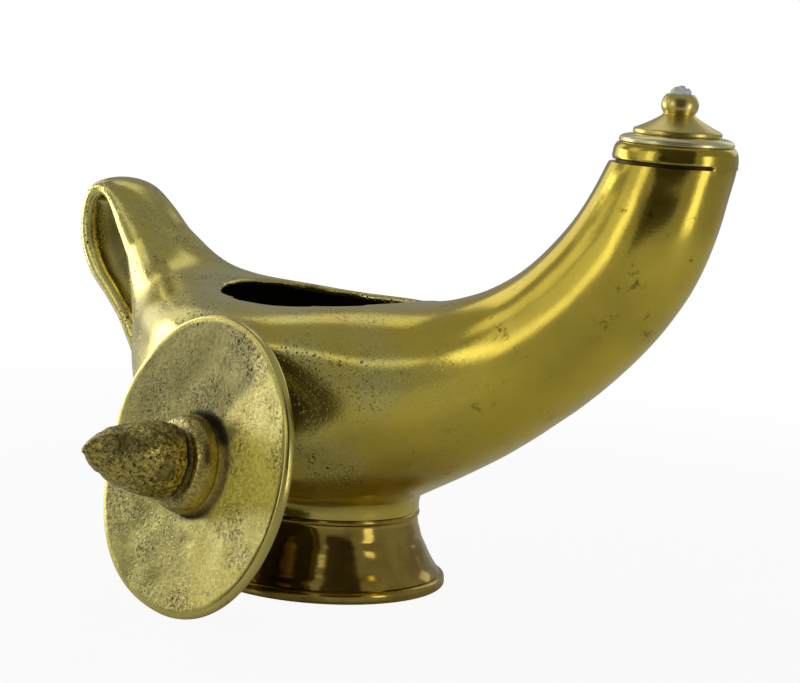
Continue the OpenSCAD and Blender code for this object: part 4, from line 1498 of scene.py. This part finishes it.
    def plate_marks(self, rings: Array, across: Array, on_face: Array) -> dict[str, Array]:
        """What the cast finish reads on the plate.

        Args:
            rings: The plate's points, before it leans.
            across: Their distance from its axis.
            on_face: 1 on its cast face.

        Returns:
            Sand on the face, a painted highlight on its right half, and painted shade on the back, on the
            left half more towards its top, and in the crease round the finial.
        """
        grimy = smoothstep(-0.3, 1.5, Waves(16, 18, 54).at(rings))
        # painted shadow in the crease round the finial's foot
        crease_shade = np.exp(-(((across - self.ring_r - 0.5) / 0.9) ** 2)) * (rings[..., 2] > 0.6)
        # painted shade on the plate's back
        back = (rings[..., 2] < 0.2) * smoothstep(self.radius - 0.5, self.radius - 2, across)
        # a painted highlight on the face's right part, and painted shade over the rest, heavier towards the
        # top
        right, up = rings[..., 0], rings[..., 1]
        edge = 4 + 0.55 * np.maximum(up - 5, 0) + 1.5 * Waves(9, 14, 55).at(rings)
        painted_highlight = smoothstep(-3, 9, right - edge) * on_face
        brown = (1 - painted_highlight) * (0.2 + 0.4 * smoothstep(-12, 22, up)) * on_face
        return {
            "sand": on_face * (0.55 + 0.45 * grimy),
            "painted_highlight": painted_highlight,
            "soot": np.clip(0.8 * crease_shade + 0.9 * back + brown, 0, 1),
            "flow": rings * np.array([0.05, 1, 1]) * MM,
        }

    def knob(self) -> bpy.types.Object:
        """The finial: a smooth moulding, a dark groove, a rough acorn and a blunt nose.

        The acorn's radius is fat * (1 - t^2.15)^0.8 + 1.2 t, with t along it.
        """
        fat, ring, tip = self.knob_r, self.ring_r, self.knob_l
        t = np.linspace(0, 1, 90)
        acorn = np.c_[fat * (1 - t**2.15) ** 0.8 + 1.2 * t, 6.1 + (tip - 6.6) * t][5:]
        moulding = rounded([
            (POLE, 0, 0), (ring - 0.3, 0, 0.2), (ring, 0.6, 0.8), (ring - 0.35, 3.0, 1.6),
            (ring - 1.6, 5.2, 1.2), (fat - 0.9, 5.6, 0.5), (fat - 1.2, 6.3, 0.5), (*acorn[0], 0),
        ])
        nose = np.array([[1.0, tip - 0.15], [0.5, tip - 0.03], [POLE, tip]])
        rings = turned_rings(np.vstack([moulding[:-1], acorn, nose]), 240)
        height = rings[..., 2]
        rough = smoothstep(5, 7.5, height) * smoothstep(tip, tip - 1.5, height)
        lumps = sum(depth * Waves(*band).at(rings) for depth, band in (
            (0.16, (8, 20, 61)), (0.06, (2.6, 40, 62)), (0.025, (1.2, 60, 63)),
        ))
        rings = rings + grid_normals(rings) * ((lumps - 0.42) * rough)[..., None]
        obj = loft("acorn_finial", placed(rings + ALONG_AXIS * self.pad_top, self.frame()), Ends.FAN, 60)
        # painted shade: random dark patches on the acorn stand in for the dark parts of its reflections
        patches = smoothstep(0.2, 1.6, Waves(11, 18, 64).at(rings)) * smoothstep(4.5, 7, height) * 0.5
        # painted shade in the groove between the moulding and the acorn
        groove = np.exp(-(((height - 6.0) / 0.6) ** 2)) * 0.8
        add_ring_attributes(
            obj, sand=0.5 + 0.5 * smoothstep(2, 6.5, height), soot=np.maximum(patches, groove),
            flow=rings * np.array([1, 1, 0.05]) * MM,
        )
        return obj


# ---------------------------------------------------------------------------------------------------------
# Studio
# ---------------------------------------------------------------------------------------------------------
@dataclass(frozen=True)
class Panel:
    """A soft light or a dark card, placed as seen from a point on the lamp.

    Attributes:
        name: Its name.
        bearing: Degrees from the camera's direction, positive to the camera's right.
        rise: Degrees above the horizon.
        away: Distance in metres.
        size: Width and height in metres.
        level: Brightness of a light's face, where 1 is white. A card has none.
        seen_from: The point, in metres.
    """

    name: str
    bearing: float
    rise: float
    away: float
    size: tuple[float, float]
    level: float = 0.0
    seen_from: Triple = (0.0, 0.0, 0.07)

    def matrix(self) -> Matrix:
        """Its place, with -Z facing the point."""
        turn, rise = math.radians(self.bearing + CAMERA_AZIMUTH), math.radians(self.rise)
        way = Vector((math.cos(turn) * math.cos(rise), math.sin(turn) * math.cos(rise), math.sin(rise)))
        place = Vector(self.seen_from) + way * self.away
        return Matrix.Translation(place) @ (-way).to_track_quat("-Z", "Y").to_matrix().to_4x4()

    def hang(self) -> None:
        """Hangs it as a light whose face gives off its level evenly: level * pi * area watts."""
        data = bpy.data.lights.new(self.name, "AREA")
        data.shape = "RECTANGLE"
        data.size, data.size_y = self.size
        data.energy = self.level * math.pi * data.size * data.size_y
        light = linked(self.name, data)
        light.matrix_world = self.matrix()
        light.visible_camera = False

    def stand(self, felt: bpy.types.Material) -> None:
        """Stands it as a card that only the metal sees."""
        mesh = bpy.data.meshes.new(self.name)
        w, h = self.size[0] / 2, self.size[1] / 2
        frame = self.matrix()
        edge = [frame @ Vector((x, y, 0)) for x, y in ((-w, -h), (w, -h), (w, h), (-w, h))]
        mesh.from_pydata(edge, [], [(0, 1, 2, 3)])
        card = linked(self.name, mesh)
        dress(card, felt)
        card.visible_camera = card.visible_diffuse = card.visible_shadow = False


@dataclass
class Studio:
    """Pale floor, soft panels, dark cards, a dim room and the camera.

    Attributes:
        picture_px: Width of the picture.
        focal_px: The camera's focal length in those pixels.
        sensor_w: Width of its sensor.
        pitch: How far it looks down.
        roll: How far it leans to its right.
        eye: Its place, in metres.
        neck: The horn's neck, in metres.
        lid: The lid's middle, in metres.
        room_light: Colour of the light that the room gives.
        room_level: Its strength.
        floor_sunk: How far the floor lies under the foot, in metres.
    """

    picture_px: float = 800
    focal_px: float = 1886
    sensor_w: float = 36
    pitch: float = math.radians(6.1) - 1 / 1886
    roll: float = math.radians(3.7)
    eye: Triple = (0.33465, -0.42991, 0.1284)
    neck: Triple = (0.11, -0.01, 0.105)
    lid: Triple = (0.005, -0.072, 0.04)
    room_light: Colour = (0.98, 0.99, 1.0)
    room_level: float = 0.28
    floor_sunk: float = 0.00005

    def camera(self) -> None:
        """Stands the camera off the lamp's near side, looking a little down, with a slight roll."""
        yaw = math.radians(CAMERA_AZIMUTH + 90)
        right = Vector((math.cos(yaw), math.sin(yaw), 0))
        level = Vector((-math.sin(yaw), math.cos(yaw), 0))
        ahead = level * math.cos(self.pitch) - Vector((0, 0, math.sin(self.pitch)))
        up = right.cross(ahead)
        x = right * math.cos(self.roll) + up * math.sin(self.roll)
        y = up * math.cos(self.roll) - right * math.sin(self.roll)
        data = bpy.data.cameras.new("camera")
        data.sensor_width = self.sensor_w
        data.lens = self.focal_px * self.sensor_w / self.picture_px
        data.clip_start, data.clip_end = 0.01, 50
        camera = linked("camera", data)
        matrix = Matrix((x, y, -ahead)).transposed().to_4x4()
        matrix.translation = Vector(self.eye)
        camera.matrix_world = matrix
        bpy.context.scene.camera = camera

    def lights(self) -> None:
        """Hangs the soft panels: bearing, rise, distance, size and level of each."""
        for panel in (
            Panel("strip_left", -49, 8, 1.0, (0.24, 0.72), 1.3),
            Panel("wall_front_left", -67, 9, 1.0, (0.34, 0.6), 0.42),
            Panel("wall_left", -90, 28, 1.05, (0.36, 0.46), 0.6),
            Panel("lid_key", -124, 9, 0.5, (0.24, 0.26), 3.3, self.lid),
            Panel("key_back_left", -138, 20, 1.0, (0.5, 0.7), 0.75),
            Panel("top_back", -172, 56, 1.1, (0.5, 0.45), 0.5),
            Panel("strip_right", 56, -3, 0.28, (0.08, 0.20), 1.9, self.neck),
            Panel("wall_back_right", 140, 25, 1.0, (0.5, 0.5), 0.55),
            Panel("front_high", -15, 36, 1.15, (0.8, 0.2), 0.6),
        ):
            panel.hang()

    def dark_cards(self) -> None:
        """Stands two dark cards near the lamp, as a studio's black flags."""
        felt = Shader("dark_card_felt").finish_with(Base_Color=(0.09, 0.075, 0.06), Roughness=1.0)
        lid_low = (self.lid[0], self.lid[1], 0.032)
        Panel("dark_card_mouth", -5, 26, 0.11, (0.135, 0.18), seen_from=self.neck).stand(felt)
        Panel("dark_card_lid", -93, 0, 0.12, (0.075, 0.062), seen_from=lid_low).stand(felt)

    def room(self) -> None:
        """White where the camera sees it, softer in the light it gives to the metal."""
        world = bpy.data.worlds.new("room")
        bpy.context.scene.world = world
        graph = Graph(world, "ShaderNodeOutputWorld")
        soft_light = {"Color": (*self.room_light, 1.0), "Strength": self.room_level}
        seen = graph.node("ShaderNodeLightPath", output="Is Camera Ray")
        white = graph.node("ShaderNodeBackground", inputs={"Color": WHITE})
        soft = graph.node("ShaderNodeBackground", inputs=soft_light)
        graph.show(graph.node("ShaderNodeMixShader", inputs={0: seen, 1: soft, 2: white}))

    def floor(self) -> None:
        """A round pale floor that keeps a faint shadow and otherwise runs into the white."""
        rings = turned_rings([(0.1, 0), (300, 0), (900, 0), (2500, 0)], 64)
        rows, cols = rings.shape[:2]
        i, k = np.meshgrid(np.arange(rows - 1), np.arange(cols), indexing="ij")
        j, m = i + 1, (k + 1) % cols
        quads = np.stack([i * cols + k, j * cols + k, j * cols + m, i * cols + m], axis=-1).reshape(-1, 4)
        points = rings.reshape(-1, 3) * MM - ALONG_AXIS * self.floor_sunk
        mesh = bpy.data.meshes.new("floor")
        mesh.from_pydata(points.tolist(), [], quads.tolist() + [list(range(cols))])
        floor = linked("floor", mesh)
        s = Shader("pale_floor")
        s.finish_with(Base_Color=(0.86, 0.86, 0.85), Roughness=0.8)
        glow = s.node("ShaderNodeEmission", inputs={"Color": WHITE})
        seen = s.node("ShaderNodeLightPath", output="Is Camera Ray")
        away = s.node("ShaderNodeVectorMath", {"operation": "LENGTH"}, {0: s.place}, output="Value")
        share = seen * away.between(0.15, 0.6, 0.93, 1.0)
        s.show(s.node("ShaderNodeMixShader", inputs={0: share, 1: s.principled, 2: glow}))
        dress(floor, s.material)

    def build(self) -> None:
        """Sets up the camera, lights, cards, room and floor."""
        self.camera()
        self.lights()
        self.dark_cards()
        self.room()
        self.floor()
        bpy.context.scene.view_settings.view_transform = "Standard"


# ---------------------------------------------------------------------------------------------------------
# The whole lamp
# ---------------------------------------------------------------------------------------------------------
def fit(obj: bpy.types.Object, material: bpy.types.Material, body: str, slot: str, *nodes: str) -> None:
    """Dresses a piece, rides it on its body and takes its nodes' place.

    Args:
        obj: The piece.
        material: Its finish.
        body: The moving body it rides on.
        slot: The record's material slot; not used.
        *nodes: The frame's nodes it stands for.
    """
    dress(obj, material)
    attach(obj, body)
    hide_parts(*nodes)
    log.info("%s: %d faces, for %s", obj.name, len(obj.data.polygons), ", ".join(nodes))


def corners(box: tuple[Vector, Vector]) -> list[list[float]]:
    """A box's two corners as plain lists."""
    return [list(map(float, corner)) for corner in box]


def main(frame: dict[str, object]) -> None:
    """Builds the pieces in order.
    """
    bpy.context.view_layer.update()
    foot, mouth, lid = Foot(), Mouth(), Lid()
    lid.lean_on(frame["nodes"]["lid_plate"])
    finishes = Finishes(mouth, lid)
    fit(Body(foot, mouth).build(), finishes.casting, "lamp", "cast_brass", "bowl", "handle")
    fit(foot.build(), finishes.foot, "lamp", "cast_brass", "foot")
    fit(mouth.collar(), finishes.casting, "lamp", "cast_brass", "spout_collar")
    fit(mouth.flange(), finishes.flange, "burner", "turned_brass", "burner_flange")
    fit(mouth.cap(), finishes.satin, "burner", "turned_brass", "burner_cap")
    fit(mouth.wick(), finishes.cotton, "wick", "cotton", "wick")
    fit(lid.plate(), finishes.lid, "lid", "lid_brass", "lid_plate")
    fit(lid.knob(), finishes.finial, "lid", "dark_brass", "lid_knob")
    kept = {
        "foot_screw": finishes.screw, "foot_washer": finishes.screw, "foot_seal": finishes.leather,
        "burner_plug": finishes.satin, "wick_tube": finishes.satin, "lid_ring": finishes.lid,
        "knob_stud": finishes.hidden, "knob_washer": finishes.hidden, "knob_nut": finishes.hidden,
    }
    for node, material in kept.items():
        dress(frame["nodes"][node], material)
    Studio().build()


if __name__ == "__main__":
    logging.basicConfig(level=logging.INFO, format="%(message)s")
    main(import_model())
